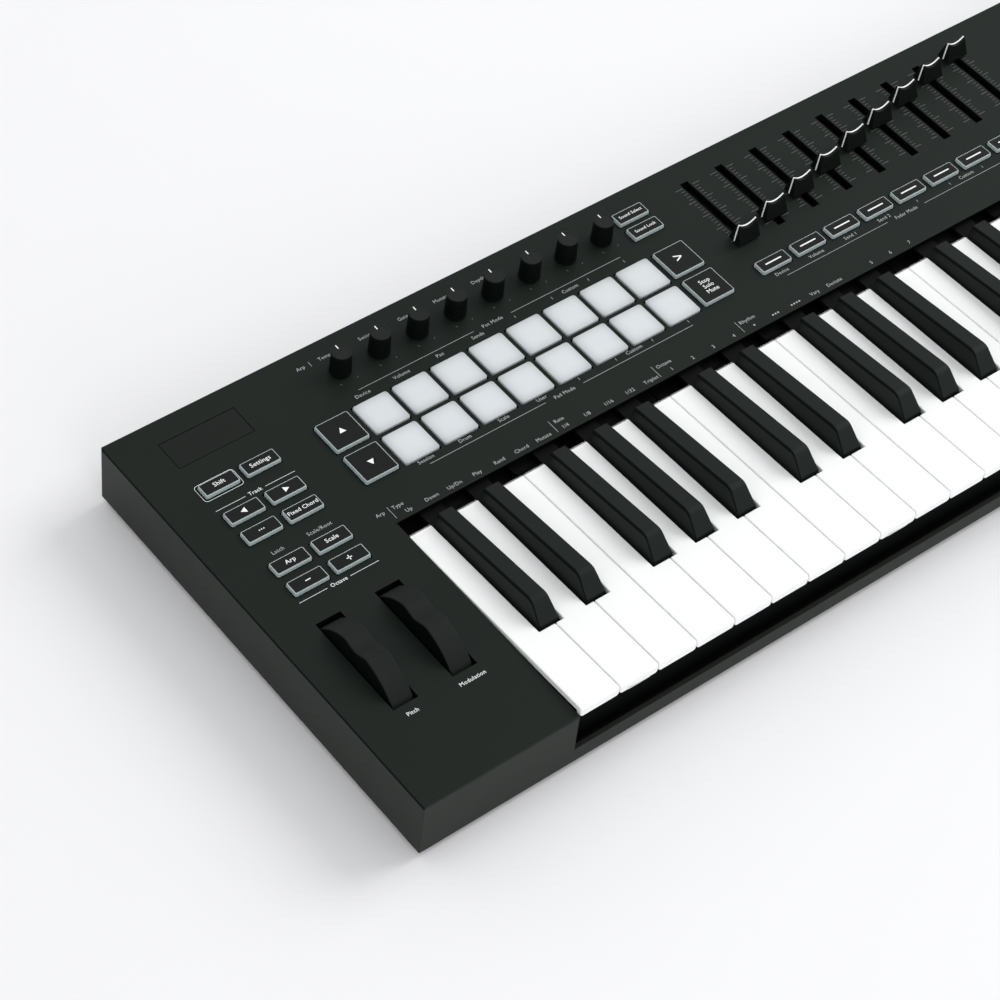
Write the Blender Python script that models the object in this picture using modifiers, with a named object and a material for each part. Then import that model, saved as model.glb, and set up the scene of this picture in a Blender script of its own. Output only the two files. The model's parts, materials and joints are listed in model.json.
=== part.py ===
"""Forty-nine-key synthesizer keyboard controller, modelled as separate pieces.

Metres, +Z up. The origin is on the ground under the middle of the body, +X runs along
the keyboard towards its high notes and +Y runs from the player to the rear panel.
"""

import math

import bmesh
import bpy
from mathutils import Matrix, Vector

MM = 0.001

# Overall sizes.
KEY_PITCH = 23.5 * MM
LEFT_CHEEK = 90.0 * MM
RIGHT_CHEEK = 17.5 * MM
OPENING_DEPTH = 139.5 * MM
PANEL_DEPTH = 118.5 * MM
BODY_HEIGHT = 36.0 * MM
FOOT_HEIGHT = 4.0 * MM
OCTAVES = 4
KEYS_PER_OCTAVE = 7

# Walls and general clearances.
GAP = 0.3 * MM
WALL = 2.5 * MM
PLATE = 3.0 * MM
RIM = 1.2 * MM
FRONT_RAIL = 10.0 * MM
WELD = 0.00001

# White keys.
KEY_SPACE = 0.9 * MM
KEY_RISE = 4.0 * MM
KEY_REAR_DROP = 1.8 * MM
KEY_REAR_GAP = 8.5 * MM
KEY_SLAB = 3.2 * MM
KEY_LIP = 6.0 * MM
KEY_LIP_WALL = 2.0 * MM
KEY_SIDE_GAP = 0.4 * MM

# Black keys.
BLACK_BASE = 12.8 * MM
BLACK_TOP = 9.6 * MM
BLACK_SIDE_GAP = 0.9 * MM
BLACK_FRONT = 49.5 * MM
BLACK_NOTCH_GAP = 1.5 * MM
BLACK_RAMP = 9.2 * MM
BLACK_RIDGE = 12.2 * MM
BLACK_REAR_RISE = 4.8 * MM
BLACK_SHOULDER = 2.2 * MM
BLACK_BELLY = 4.5 * MM
BLACK_REAR_STEP = 1.0 * MM
BLACK_STEPS = ((1, -2.4 * MM), (2, 2.4 * MM), (4, -3.0 * MM), (5, 0.1 * MM), (6, 3.4 * MM))

# Key hinges: three rails, one above the other, behind the keys.
RAIL = 2.5 * MM
RAIL_GAP = 1.2 * MM
RAIL_SETBACK = 7.5 * MM
RAIL_DEPTH = 13.0 * MM
RAIL_END_GAP = 0.5 * MM
ARM_DROP = 3.0 * MM

# Key frame, contact board, contact strip and stop felt.
FRAME_FRONT = 8.0 * MM
FRAME_WALL = 2.0 * MM
FRAME_GAP = 2.0 * MM
FRAME_END_GAP = 2.0 * MM
BOARD = 1.6 * MM
CONTACT_BOARD_SPAN = (88.0 * MM, 114.0 * MM)
CONTACT_STRIP_SPAN = (95.0 * MM, 107.0 * MM)
FELT_SPAN = (16.0 * MM, 28.0 * MM)
FELT_DROP = 9.1 * MM
STRIP_DROP = 8.6 * MM

# Panel controls: rows are measured forwards from the rear edge, columns from the left edge.
COLUMN_PITCH = 24.1 * MM
FIRST_PAD = 126.0 * MM
PAD_COLUMNS = 8
PAD_ROWS = (57.6 * MM, 81.5 * MM)
PAD_GAP = 3.0 * MM
PAD_RISE = 1.3 * MM
BUTTON_RISE = 2.2 * MM
BUTTON_GAP = 4.1 * MM
BUTTON_DEPTH = 8.6 * MM
HOLE_GAP = 0.4 * MM
MODE_ROWS = (18.0 * MM, 30.4 * MM)
FIRST_LEFT = 33.1 * MM
FUNCTION_ROWS = (51.8 * MM,)
TRACK_ROWS = (72.8 * MM, 87.0 * MM)
OCTAVE_ROWS = (110.2 * MM, 124.3 * MM)
TRANSPORT_STEP = 60.5 * MM
MAT_WEB = 1.0 * MM
MAT_DEPTH = 4.6 * MM
MAT_MARGIN = 1.0 * MM

# Knobs.
KNOBS = 8
KNOB_ROW = 23.5 * MM
KNOB_BASE = 11.6 * MM
KNOB_TOP = 10.7 * MM
KNOB_HEIGHT = 14.0 * MM
KNOB_LIFT = 0.6 * MM
SHAFT = 6.0 * MM
SHAFT_GAP = 0.5 * MM
ROTARY_BODY = 11.0 * MM

# Faders.
FADERS = 9
FADER_STEP_RIGHT = 40.4 * MM
FADER_PITCH = 24.3 * MM
FADER_LOW = 63.8 * MM
FADER_TRAVEL = 45.0 * MM
FADER_STEP = 5.6 * MM
SLOT_SIDE = 1.3 * MM
SLOT_END = 0.95 * MM
SLOT_FAR_END = 2.55 * MM
STEM = (2.6 * MM, 4.0 * MM)
CAP = (14.8 * MM, 9.0 * MM, 10.7 * MM)
CAP_LIFT = 1.3 * MM
CAP_TAPER = 1.3 * MM
CAP_CREST = 2.4 * MM
CAP_DISH = 2.2 * MM
CAP_FLAT = 0.5 * MM
DISH_STEPS = 8
SLIDER_BODY = 7.0 * MM
FADER_BUTTON_ROW = 86.6 * MM
FADER_BUTTON_GAP = 4.3 * MM

# Display window.
WINDOW = (44.0 * MM, 18.0 * MM)
WINDOW_CENTRE = (45.75 * MM, 23.3 * MM)
WINDOW_THICK = 1.8 * MM

# Thumb wheels.
WHEEL_CENTRES = (28.35 * MM, 62.5 * MM)
WHEEL_ROW = 176.9 * MM
WHEEL_WIDTH = 12.0 * MM
WHEEL_SLOT_GAP = 1.15 * MM
WHEEL_END_GAP = 0.5 * MM
WHEEL_RISE = 12.5 * MM
WHEEL_HUB = 7.0 * MM
WHEEL_FLOOR_GAP = 2.9 * MM
WHEEL_SPREAD = math.radians(75)
DIP_FROM = math.radians(-10.5)
DIP_TO = math.radians(17.5)
DIP_DEPTH = 3.0 * MM
AXLE = 4.4 * MM
AXLE_GAP = 0.3 * MM
BRACKET_PLATE = 2.0 * MM
BRACKET_SIDE_GAP = 0.8 * MM
BRACKET_REACH = (50.0 * MM, 9.0 * MM)

# Circuit board.
BOARD_DROP = 8.4 * MM
BOARD_LEFT = 17.0 * MM
BOARD_OVERHANG = 17.9 * MM
BOARD_REAR = 12.0 * MM
BOARD_TO_RAIL = 3.0 * MM
BOARD_TO_WHEEL = 3.3 * MM

# Sockets in the rear wall, measured from the right edge.
SOCKET_HEIGHT = 15.0 * MM
SOCKET_DEPTH = 16.0 * MM
SOCKET_FLOOR = 6.0 * MM
USB_X = 60.0 * MM
USB_BODY = (12.6 * MM, 11.6 * MM)
USB_MOUTH = (9.0 * MM, 8.4 * MM)
MIDI_X = 92.0 * MM
MIDI_BODY = 18.0 * MM
MIDI_MOUTH = 14.0 * MM
PEDAL_X = 122.0 * MM
PEDAL_BODY = 11.0 * MM
PEDAL_MOUTH = 6.6 * MM

# Feet and screws.
FOOT_RADIUS = 9.0 * MM
FOOT_INSET = (30.0 * MM, 25.0 * MM)
SCREW_INSET = 10.0 * MM
SCREW_INSET_RIGHT = 8.6 * MM
SCREW_HEAD = 7.0 * MM
SCREW_HEAD_HEIGHT = 2.2 * MM
SCREW_SHANK = 3.0 * MM
SCREW_LENGTH = 18.0 * MM
BOSS = 11.0 * MM
BOSS_HEIGHT = 12.0 * MM
BOSS_BORE = 8.0 * MM
BOSS_LEDGE = 6.0 * MM
POST = 8.0 * MM
POST_HOLE = 3.6 * MM

# Derived places.
WHITE_KEYS = OCTAVES * KEYS_PER_OCTAVE + 1
KEY_LENGTH = OPENING_DEPTH - KEY_REAR_GAP
BLACK_REAR = KEY_LENGTH - BLACK_REAR_STEP
BUTTON_WIDTH = COLUMN_PITCH - BUTTON_GAP
ROW_PITCH = PAD_ROWS[1] - PAD_ROWS[0]
LEFT_COLUMNS = (FIRST_LEFT, FIRST_LEFT + COLUMN_PITCH)
ARROW_COLUMN = FIRST_PAD - COLUMN_PITCH
SCENE_COLUMN = FIRST_PAD + PAD_COLUMNS * COLUMN_PITCH
FIRST_FADER = SCENE_COLUMN + FADER_STEP_RIGHT
FIRST_TRANSPORT = FIRST_FADER + (FADERS - 1) * FADER_PITCH + TRANSPORT_STEP
BOARD_RIGHT = FIRST_TRANSPORT + COLUMN_PITCH + BOARD_OVERHANG
FADER_SLOT = STEM[0] + 2 * SLOT_SIDE
BODY_WIDTH = LEFT_CHEEK + WHITE_KEYS * KEY_PITCH + RIGHT_CHEEK
BODY_DEPTH = OPENING_DEPTH + PANEL_DEPTH
LEFT = -BODY_WIDTH / 2
RIGHT = BODY_WIDTH / 2
FRONT = -BODY_DEPTH / 2
REAR = BODY_DEPTH / 2
BASE = FOOT_HEIGHT
FLOOR = BASE + WALL
DECK = BASE + BODY_HEIGHT
UNDER = DECK - PLATE
SEAM = DECK - RIM
WELL_LEFT = LEFT + LEFT_CHEEK - KEY_SIDE_GAP
WELL_RIGHT = RIGHT - RIGHT_CHEEK + KEY_SIDE_GAP
WELL_REAR = FRONT + OPENING_DEPTH
RAIL_FRONT = WELL_REAR + RAIL_SETBACK
RAIL_REAR = RAIL_FRONT + RAIL_DEPTH
RAIL_TOPS = tuple(UNDER - RAIL_GAP - level * (RAIL + RAIL_GAP) for level in range(3))
RAIL_FLOOR = RAIL_TOPS[2] - RAIL
FRAME_TOP = RAIL_FLOOR - FRAME_GAP
HINGE_Y = (RAIL_FRONT + RAIL_REAR) / 2
HINGE_Z = RAIL_TOPS[1] - RAIL / 2
KEY_TOP = DECK + KEY_RISE
BOARD_TOP = DECK - BOARD_DROP
MAT_TOP = DECK - MAT_DEPTH
WHEEL_Y = REAR - WHEEL_ROW
WHEEL_Z = FLOOR + WHEEL_FLOOR_GAP + WHEEL_HUB
WHEEL_RADIUS = DECK + WHEEL_RISE - WHEEL_Z
WHEEL_CHORD = math.sqrt(WHEEL_RADIUS ** 2 - (UNDER - WHEEL_Z) ** 2)
SOCKET_Z = BASE + SOCKET_HEIGHT


# Shapes.

def mesh_object(name, bm, collection):
    """Turn a bmesh into a linked object."""
    mesh = bpy.data.meshes.new(name)
    bm.to_mesh(mesh)
    bm.free()
    obj = bpy.data.objects.new(name, mesh)
    collection.objects.link(obj)
    return obj


def boxes(name, spans, collection):
    """One mesh of closed boxes, each given by its low and its high corner."""
    bm = bmesh.new()
    for low, high in spans:
        centre = (Vector(low) + Vector(high)) / 2
        size = Vector(high) - Vector(low)
        place = Matrix.Translation(centre) @ Matrix.Diagonal((*size, 1.0))
        bmesh.ops.create_cube(bm, size=1.0, matrix=place)
    return mesh_object(name, bm, collection)


def discs(name, centres, diameter, low, high, sides, collection):
    """One mesh of upright closed cylinders."""
    bm = bmesh.new()
    for x, y in centres:
        place = Matrix.Translation((x, y, (low + high) / 2))
        bmesh.ops.create_cone(bm, cap_ends=True, segments=sides, radius1=diameter / 2,
                              radius2=diameter / 2, depth=high - low, matrix=place)
    return mesh_object(name, bm, collection)


def rod(name, centre, diameter, length, axis, sides, collection):
    """A closed cylinder along X or Y."""
    turn = Matrix.Rotation(math.radians(90), 4, "Y" if axis == "X" else "X")
    bm = bmesh.new()
    bmesh.ops.create_cone(bm, cap_ends=True, segments=sides, radius1=diameter / 2,
                          radius2=diameter / 2, depth=length,
                          matrix=Matrix.Translation(centre) @ turn)
    return mesh_object(name, bm, collection)


def prism(name, points, low, high, collection, view="top"):
    """A filled outline extruded from low to high.

    The points are (x, y) along Z from the top, (y, z) along X from the side and (x, z)
    along Y from the front.
    """
    curve = bpy.data.curves.new(name, "CURVE")
    curve.dimensions = "2D"
    curve.fill_mode = "BOTH"
    curve.extrude = (high - low) / 2
    spline = curve.splines.new("POLY")
    spline.points.add(len(points) - 1)
    for point, (u, v) in zip(spline.points, points):
        point.co = (u, v, 0.0, 1.0)
    spline.use_cyclic_u = True
    flat = bpy.data.objects.new(name + "_outline", curve)
    collection.objects.link(flat)
    middle = (low + high) / 2
    if view == "side":
        flat.location.x = middle
        flat.rotation_euler = (math.radians(90), 0.0, math.radians(90))
    elif view == "front":
        flat.location.y = middle
        flat.rotation_euler = (math.radians(90), 0.0, 0.0)
    else:
        flat.location.z = middle
    bpy.context.view_layer.update()
    mesh = bpy.data.meshes.new_from_object(flat.evaluated_get(bpy.context.evaluated_depsgraph_get()))
    mesh.transform(flat.matrix_world)
    bpy.data.objects.remove(flat)
    bm = bmesh.new()
    bm.from_mesh(mesh)
    bpy.data.meshes.remove(mesh)
    bmesh.ops.remove_doubles(bm, verts=bm.verts, dist=WELD)
    bmesh.ops.recalc_face_normals(bm, faces=bm.faces)
    return mesh_object(name, bm, collection)


def turned(name, profile, sides, collection):
    """A profile of (radius, z) points, from top to bottom, turned about Z."""
    bm = bmesh.new()
    verts = [bm.verts.new((radius, 0.0, z)) for radius, z in profile]
    for first, second in zip(verts, verts[1:]):
        bm.edges.new((first, second))
    obj = mesh_object(name, bm, collection)
    screw = obj.modifiers.new("turn", "SCREW")
    screw.steps = sides
    screw.render_steps = sides
    screw.use_merge_vertices = True
    screw.merge_threshold = WELD
    return obj


def gather(name, parts, collection):
    """Join objects that don't touch into one mesh, and remove them."""
    bm = bmesh.new()
    for part in parts:
        bm.from_mesh(part.data)
        bpy.data.objects.remove(part)
    return mesh_object(name, bm, collection)


def boolean(obj, other, operation):
    """Cut or join with another object, which then only guides the shape."""
    modifier = obj.modifiers.new(other.name, "BOOLEAN")
    modifier.operation = operation
    modifier.solver = "EXACT"
    modifier.object = other
    other.hide_render = True
    other.display_type = "WIRE"


def put_origin(obj, place):
    """Move an object's origin without moving its shape."""
    obj.data.transform(Matrix.Translation(-Vector(place)))
    obj.location = place


def arc(radius, start, end, count):
    """Points at count + 1 equal steps along an arc, as angles from straight up towards +Y."""
    angles = [start + (end - start) * step / count for step in range(count + 1)]
    return [(radius * math.sin(angle), radius * math.cos(angle)) for angle in angles]


def material(name, colour, roughness, metallic=0.0):
    """A plain Principled finish."""
    finish = bpy.data.materials.new(name)
    finish.use_nodes = True
    shader = finish.node_tree.nodes["Principled BSDF"]
    shader.inputs["Base Color"].default_value = (*colour, 1.0)
    shader.inputs["Roughness"].default_value = roughness
    shader.inputs["Metallic"].default_value = metallic
    return finish


# Layout.

def knob_centres():
    """Centre of each knob."""
    return [(LEFT + FIRST_PAD + i * COLUMN_PITCH, REAR - KNOB_ROW) for i in range(KNOBS)]


def fader_columns():
    """X of each fader."""
    return [LEFT + FIRST_FADER + i * FADER_PITCH for i in range(FADERS)]


def key_grid(columns, rows, width, depth):
    """Buttons as (x, y, width, depth), for columns from the left and rows from the rear."""
    return [(LEFT + x, REAR - y, width, depth) for y in rows for x in columns]


def button_groups():
    """The rubber mats by name, each with its buttons."""
    transport = (FIRST_TRANSPORT, FIRST_TRANSPORT + COLUMN_PITCH)
    under_faders = [FIRST_FADER + i * FADER_PITCH for i in range(FADERS)]
    fader_button = FADER_PITCH - FADER_BUTTON_GAP
    square_depth = ROW_PITCH - BUTTON_GAP
    return {
        "function_buttons": key_grid(LEFT_COLUMNS, FUNCTION_ROWS, BUTTON_WIDTH, BUTTON_DEPTH),
        "track_buttons": key_grid(LEFT_COLUMNS, TRACK_ROWS, BUTTON_WIDTH, BUTTON_DEPTH),
        "octave_buttons": key_grid(LEFT_COLUMNS, OCTAVE_ROWS, BUTTON_WIDTH, BUTTON_DEPTH),
        "arrow_buttons": key_grid((ARROW_COLUMN,), PAD_ROWS, BUTTON_WIDTH, square_depth),
        "scene_buttons": key_grid((SCENE_COLUMN,), PAD_ROWS, BUTTON_WIDTH, square_depth),
        "mode_buttons": key_grid((SCENE_COLUMN,), MODE_ROWS, BUTTON_WIDTH, BUTTON_DEPTH),
        "fader_buttons": key_grid(under_faders, (FADER_BUTTON_ROW,), fader_button, BUTTON_DEPTH),
        "transport_buttons": (key_grid(transport, MODE_ROWS, BUTTON_WIDTH, BUTTON_DEPTH)
                              + key_grid(transport, PAD_ROWS, BUTTON_WIDTH, square_depth)),
    }


def pad_grid():
    """The sixteen pads."""
    columns = [FIRST_PAD + i * COLUMN_PITCH for i in range(PAD_COLUMNS)]
    return key_grid(columns, PAD_ROWS, COLUMN_PITCH - PAD_GAP, ROW_PITCH - PAD_GAP)


def screw_places():
    """Centre of each case screw, by corner."""
    left = LEFT + SCREW_INSET
    right = RIGHT - SCREW_INSET_RIGHT
    front = FRONT + SCREW_INSET
    rear = REAR - SCREW_INSET
    return {"front_left": (left, front), "front_right": (right, front),
            "rear_left": (left, rear), "rear_right": (right, rear)}


def foot_places():
    """Centre of each foot, by corner."""
    left = LEFT + FOOT_INSET[0]
    right = RIGHT - FOOT_INSET[0]
    front = FRONT + FOOT_INSET[1]
    rear = REAR - FOOT_INSET[1]
    return {"front_left": (left, front), "front_right": (right, front),
            "rear_left": (left, rear), "rear_right": (right, rear)}


# Casing.

def panel_outline(inset):
    """The panel seen from above, drawn in from its edges by inset."""
    return [(LEFT + inset, FRONT + inset), (WELL_LEFT - inset, FRONT + inset),
            (WELL_LEFT - inset, WELL_REAR + inset), (WELL_RIGHT + inset, WELL_REAR + inset),
            (WELL_RIGHT + inset, FRONT + inset), (RIGHT - inset, FRONT + inset),
            (RIGHT - inset, REAR - inset), (LEFT + inset, REAR - inset)]


def panel_holes(collection):
    """Everything that passes through the panel, as one group of cutters."""
    low = UNDER - PLATE
    high = DECK + PLATE
    spans = []
    everything = pad_grid() + [button for group in button_groups().values() for button in group]
    for x, y, width, depth in everything:
        half_x = width / 2 + HOLE_GAP
        half_y = depth / 2 + HOLE_GAP
        spans.append(((x - half_x, y - half_y, low), (x + half_x, y + half_y, high)))
    slot_front = REAR - FADER_LOW - STEM[1] / 2 - SLOT_END
    slot_rear = REAR - FADER_LOW + FADER_TRAVEL + STEM[1] / 2 + SLOT_FAR_END
    for x in fader_columns():
        spans.append(((x - FADER_SLOT / 2, slot_front, low), (x + FADER_SLOT / 2, slot_rear, high)))
    for centre in WHEEL_CENTRES:
        half_x = WHEEL_WIDTH / 2 + WHEEL_SLOT_GAP
        half_y = WHEEL_CHORD + WHEEL_END_GAP
        x = LEFT + centre
        y = WHEEL_Y
        spans.append(((x - half_x, y - half_y, low), (x + half_x, y + half_y, high)))
    x = LEFT + WINDOW_CENTRE[0]
    y = REAR - WINDOW_CENTRE[1]
    half_x = WINDOW[0] / 2 + GAP
    half_y = WINDOW[1] / 2 + GAP
    spans.append(((x - half_x, y - half_y, low), (x + half_x, y + half_y, high)))
    rectangles = boxes("panel_rectangles", spans, collection)
    round_holes = discs("panel_rounds", knob_centres(), SHAFT + 2 * SHAFT_GAP, low, high, 20, collection)
    return gather("panel_holes", [rectangles, round_holes], collection)


def make_top_case(parts, cutters):
    """Panel shell: a plate whose thin rim sits on the tray walls, with four screw posts."""
    case = prism("top_case", panel_outline(0.0), SEAM, DECK, parts)
    inner = prism("top_case_inner", panel_outline(WALL + GAP), UNDER, DECK - RIM / 2, cutters)
    boolean(case, inner, "UNION")
    places = screw_places().values()
    posts = discs("top_case_posts", places, POST, BASE + BOSS_HEIGHT + GAP, UNDER + PLATE / 2, 16, cutters)
    boolean(case, posts, "UNION")
    drill_top = BASE + BOSS_LEDGE + SCREW_LENGTH + GAP
    drill = discs("top_case_drill", places, POST_HOLE, BASE, drill_top, 12, cutters)
    boolean(case, drill, "DIFFERENCE")
    boolean(case, panel_holes(cutters), "DIFFERENCE")
    return case


def tray_hollow():
    """Inside of the tray from above, with a wall on each side of the key well."""
    low_x = LEFT + WALL
    high_x = RIGHT - WALL
    low_y = FRONT + WALL
    high_y = REAR - WALL
    wall_end = WELL_REAR - WALL
    return [(low_x, low_y), (WELL_LEFT - WALL, low_y), (WELL_LEFT - WALL, wall_end),
            (WELL_LEFT, wall_end), (WELL_LEFT, low_y), (WELL_RIGHT, low_y), (WELL_RIGHT, wall_end),
            (WELL_RIGHT + WALL, wall_end), (WELL_RIGHT + WALL, low_y), (high_x, low_y),
            (high_x, high_y), (low_x, high_y)]


def make_bottom_case(parts, cutters):
    """Tray shell: floor, outer walls, key-well walls, screw bosses and rear socket holes."""
    case = boxes("bottom_case", [((LEFT, FRONT, BASE), (RIGHT, REAR, SEAM - GAP))], parts)
    hollow = prism("tray_hollow", tray_hollow(), FLOOR, DECK + WALL, cutters)
    boolean(case, hollow, "DIFFERENCE")
    mouth = ((WELL_LEFT, FRONT - WALL, BASE + FRONT_RAIL), (WELL_RIGHT, FRONT + 2 * WALL, DECK + WALL))
    usb = ((RIGHT - USB_X - USB_BODY[0] / 2 - GAP, REAR - 2 * WALL, SOCKET_Z - USB_BODY[1] / 2 - GAP),
           (RIGHT - USB_X + USB_BODY[0] / 2 + GAP, REAR + WALL, SOCKET_Z + USB_BODY[1] / 2 + GAP))
    midi_half = MIDI_BODY / 2 + GAP
    midi = ((RIGHT - MIDI_X - midi_half, REAR - 2 * WALL, SOCKET_Z - midi_half),
            (RIGHT - MIDI_X + midi_half, REAR + WALL, SOCKET_Z + midi_half))
    boolean(case, boxes("tray_mouths", [mouth, usb, midi], cutters), "DIFFERENCE")
    pedal = rod("tray_pedal_hole", (RIGHT - PEDAL_X, REAR, SOCKET_Z), PEDAL_BODY + 2 * GAP,
                4 * WALL, "Y", 20, cutters)
    boolean(case, pedal, "DIFFERENCE")
    places = screw_places().values()
    bosses = discs("tray_bosses", places, BOSS, BASE + WALL / 2, BASE + BOSS_HEIGHT, 16, cutters)
    boolean(case, bosses, "UNION")
    bores = discs("tray_bores", places, BOSS_BORE, BASE - WALL, BASE + BOSS_LEDGE, 16, cutters)
    boolean(case, bores, "DIFFERENCE")
    drill = discs("tray_drill", places, POST_HOLE, BASE, BASE + 2 * BOSS_HEIGHT, 12, cutters)
    boolean(case, drill, "DIFFERENCE")
    return case


def make_feet(parts):
    """Four rubber feet under the tray."""
    feet = []
    for corner, (x, y) in foot_places().items():
        profile = [(0.0, BASE - GAP), (FOOT_RADIUS, BASE - GAP), (FOOT_RADIUS, 1.0 * MM),
                   (FOOT_RADIUS - 1.0 * MM, 0.0), (0.0, 0.0)]
        foot = turned("foot_" + corner, profile, 20, parts)
        foot.location = (x, y, 0.0)
        feet.append(foot)
    return feet


def make_screws(parts):
    """Four screws that hold the tray to the panel's posts."""
    screws = []
    ledge = BASE + BOSS_LEDGE - GAP
    for corner, (x, y) in screw_places().items():
        profile = [(0.0, ledge + SCREW_LENGTH - 1.0 * MM), (SCREW_SHANK / 2, ledge + SCREW_LENGTH - 2.0 * MM),
                   (SCREW_SHANK / 2, ledge), (SCREW_HEAD / 2, ledge),
                   (SCREW_HEAD / 2, ledge - SCREW_HEAD_HEIGHT), (0.0, ledge - SCREW_HEAD_HEIGHT)]
        screw = turned("case_screw_" + corner, profile, 12, parts)
        screw.location = (x, y, 0.0)
        screws.append(screw)
    return screws


def make_window(parts):
    """Display window, flush with the panel."""
    x = LEFT + WINDOW_CENTRE[0]
    y = REAR - WINDOW_CENTRE[1]
    low = (x - WINDOW[0] / 2, y - WINDOW[1] / 2, DECK - WINDOW_THICK)
    high = (x + WINDOW[0] / 2, y + WINDOW[1] / 2, DECK)
    return boxes("display_window", [(low, high)], parts)


# Sockets.

def make_usb_socket(parts, cutters):
    """Data socket with a tongue in the back of its mouth."""
    x = RIGHT - USB_X
    half_x = USB_BODY[0] / 2
    half_z = USB_BODY[1] / 2
    body = boxes("usb_socket", [((x - half_x, REAR - SOCKET_DEPTH, SOCKET_Z - half_z),
                                 (x + half_x, REAR, SOCKET_Z + half_z))], parts)
    mouth_x = USB_MOUTH[0] / 2
    mouth_z = USB_MOUTH[1] / 2
    mouth = boxes("usb_mouth", [((x - mouth_x, REAR - SOCKET_DEPTH + 3 * MM, SOCKET_Z - mouth_z),
                                 (x + mouth_x, REAR + WALL, SOCKET_Z + mouth_z))], cutters)
    boolean(body, mouth, "DIFFERENCE")
    tongue = boxes("usb_tongue", [((x - mouth_x / 2, REAR - SOCKET_DEPTH + 2 * MM, SOCKET_Z - mouth_z / 3),
                                   (x + mouth_x / 2, REAR - SOCKET_FLOOR, SOCKET_Z + mouth_z / 3))], cutters)
    boolean(body, tongue, "UNION")
    return body


def make_midi_socket(parts, cutters):
    """Round five-pin socket in a square body."""
    x = RIGHT - MIDI_X
    half = MIDI_BODY / 2
    body = boxes("midi_socket", [((x - half, REAR - SOCKET_DEPTH, SOCKET_Z - half),
                                  (x + half, REAR, SOCKET_Z + half))], parts)
    depth = 2 * (SOCKET_DEPTH - SOCKET_FLOOR)
    mouth = rod("midi_mouth", (x, REAR, SOCKET_Z), MIDI_MOUTH, depth, "Y", 24, cutters)
    boolean(body, mouth, "DIFFERENCE")
    pins = []
    for pin in range(5):
        angle = math.radians(-90 + 45 * pin)
        place = (x + 4.6 * MM * math.sin(angle), REAR - SOCKET_DEPTH + SOCKET_FLOOR,
                 SOCKET_Z + 4.6 * MM * math.cos(angle))
        pins.append(rod("midi_pin", place, 1.4 * MM, 6 * MM, "Y", 8, cutters))
    boolean(body, gather("midi_pins", pins, cutters), "DIFFERENCE")
    return body


def make_pedal_socket(parts, cutters):
    """Sustain pedal jack."""
    x = RIGHT - PEDAL_X
    body = rod("pedal_socket", (x, REAR - SOCKET_DEPTH / 2, SOCKET_Z), PEDAL_BODY, SOCKET_DEPTH,
               "Y", 24, parts)
    mouth = rod("pedal_mouth", (x, REAR, SOCKET_Z), PEDAL_MOUTH, 2 * (SOCKET_DEPTH - 2 * MM),
                "Y", 20, cutters)
    boolean(body, mouth, "DIFFERENCE")
    return body


# Keyboard.

def white_left(index):
    """Left edge of a white key's place, counted from the lowest key."""
    return LEFT + LEFT_CHEEK + index * KEY_PITCH


def black_centre(octave, step, shift):
    """X of a black key's middle."""
    return white_left(octave * KEYS_PER_OCTAVE + step) + shift


def white_profile(rail_top):
    """Side view of a white key: sloping slab, front lip and the arm down to its rail."""
    front = FRONT + GAP
    rear = FRONT + KEY_LENGTH
    slab_rear = KEY_TOP - KEY_REAR_DROP - KEY_RISE - KEY_SLAB
    slab_front = KEY_TOP - KEY_SLAB
    arm_end = RAIL_FRONT + 1.0 * MM
    return [(front, KEY_TOP - KEY_LIP), (front + KEY_LIP_WALL, KEY_TOP - KEY_LIP),
            (front + KEY_LIP_WALL, slab_front), (rear - 4 * MM, slab_rear),
            (rear + ARM_DROP, rail_top - RAIL), (arm_end, rail_top - RAIL), (arm_end, rail_top),
            (rear + 2 * ARM_DROP, rail_top), (rear, slab_rear + 1.4 * MM),
            (rear, KEY_TOP - KEY_RISE - KEY_REAR_DROP), (front, KEY_TOP)]


def rail_box(name, octave, rail_top, keys, collection):
    """The rail that one comb's keys hang from."""
    left = white_left(octave * KEYS_PER_OCTAVE) + RAIL_END_GAP
    right = white_left(octave * KEYS_PER_OCTAVE + keys) - RAIL_END_GAP
    return boxes(name, [((left, RAIL_FRONT, rail_top - RAIL), (right, RAIL_REAR, rail_top))], collection)


def make_white_comb(name, octave, steps, rail_top, parts, cutters):
    """White keys of one octave moulded on one rail, notched for the black keys."""
    bodies = []
    for step in steps:
        left = white_left(octave * KEYS_PER_OCTAVE + step)
        bodies.append(prism("white_key", white_profile(rail_top), left + KEY_SPACE / 2,
                            left + KEY_PITCH - KEY_SPACE / 2, cutters, view="side"))
    comb = gather(name, bodies, parts)
    span = max(steps) + 1 if max(steps) >= KEYS_PER_OCTAVE else KEYS_PER_OCTAVE
    boolean(comb, rail_box(name + "_rail", octave, rail_top, span, cutters), "UNION")
    half = BLACK_BASE / 2 + BLACK_SIDE_GAP
    notches = []
    for black_step, shift in BLACK_STEPS:
        x = black_centre(octave, black_step, shift)
        notches.append(((x - half, FRONT + BLACK_FRONT - BLACK_NOTCH_GAP, FRAME_TOP),
                        (x + half, RAIL_FRONT - GAP, KEY_TOP + KEY_RISE)))
    boolean(comb, boxes(name + "_notches", notches, cutters), "DIFFERENCE")
    put_origin(comb, (0.0, HINGE_Y, HINGE_Z))
    return comb


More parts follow.
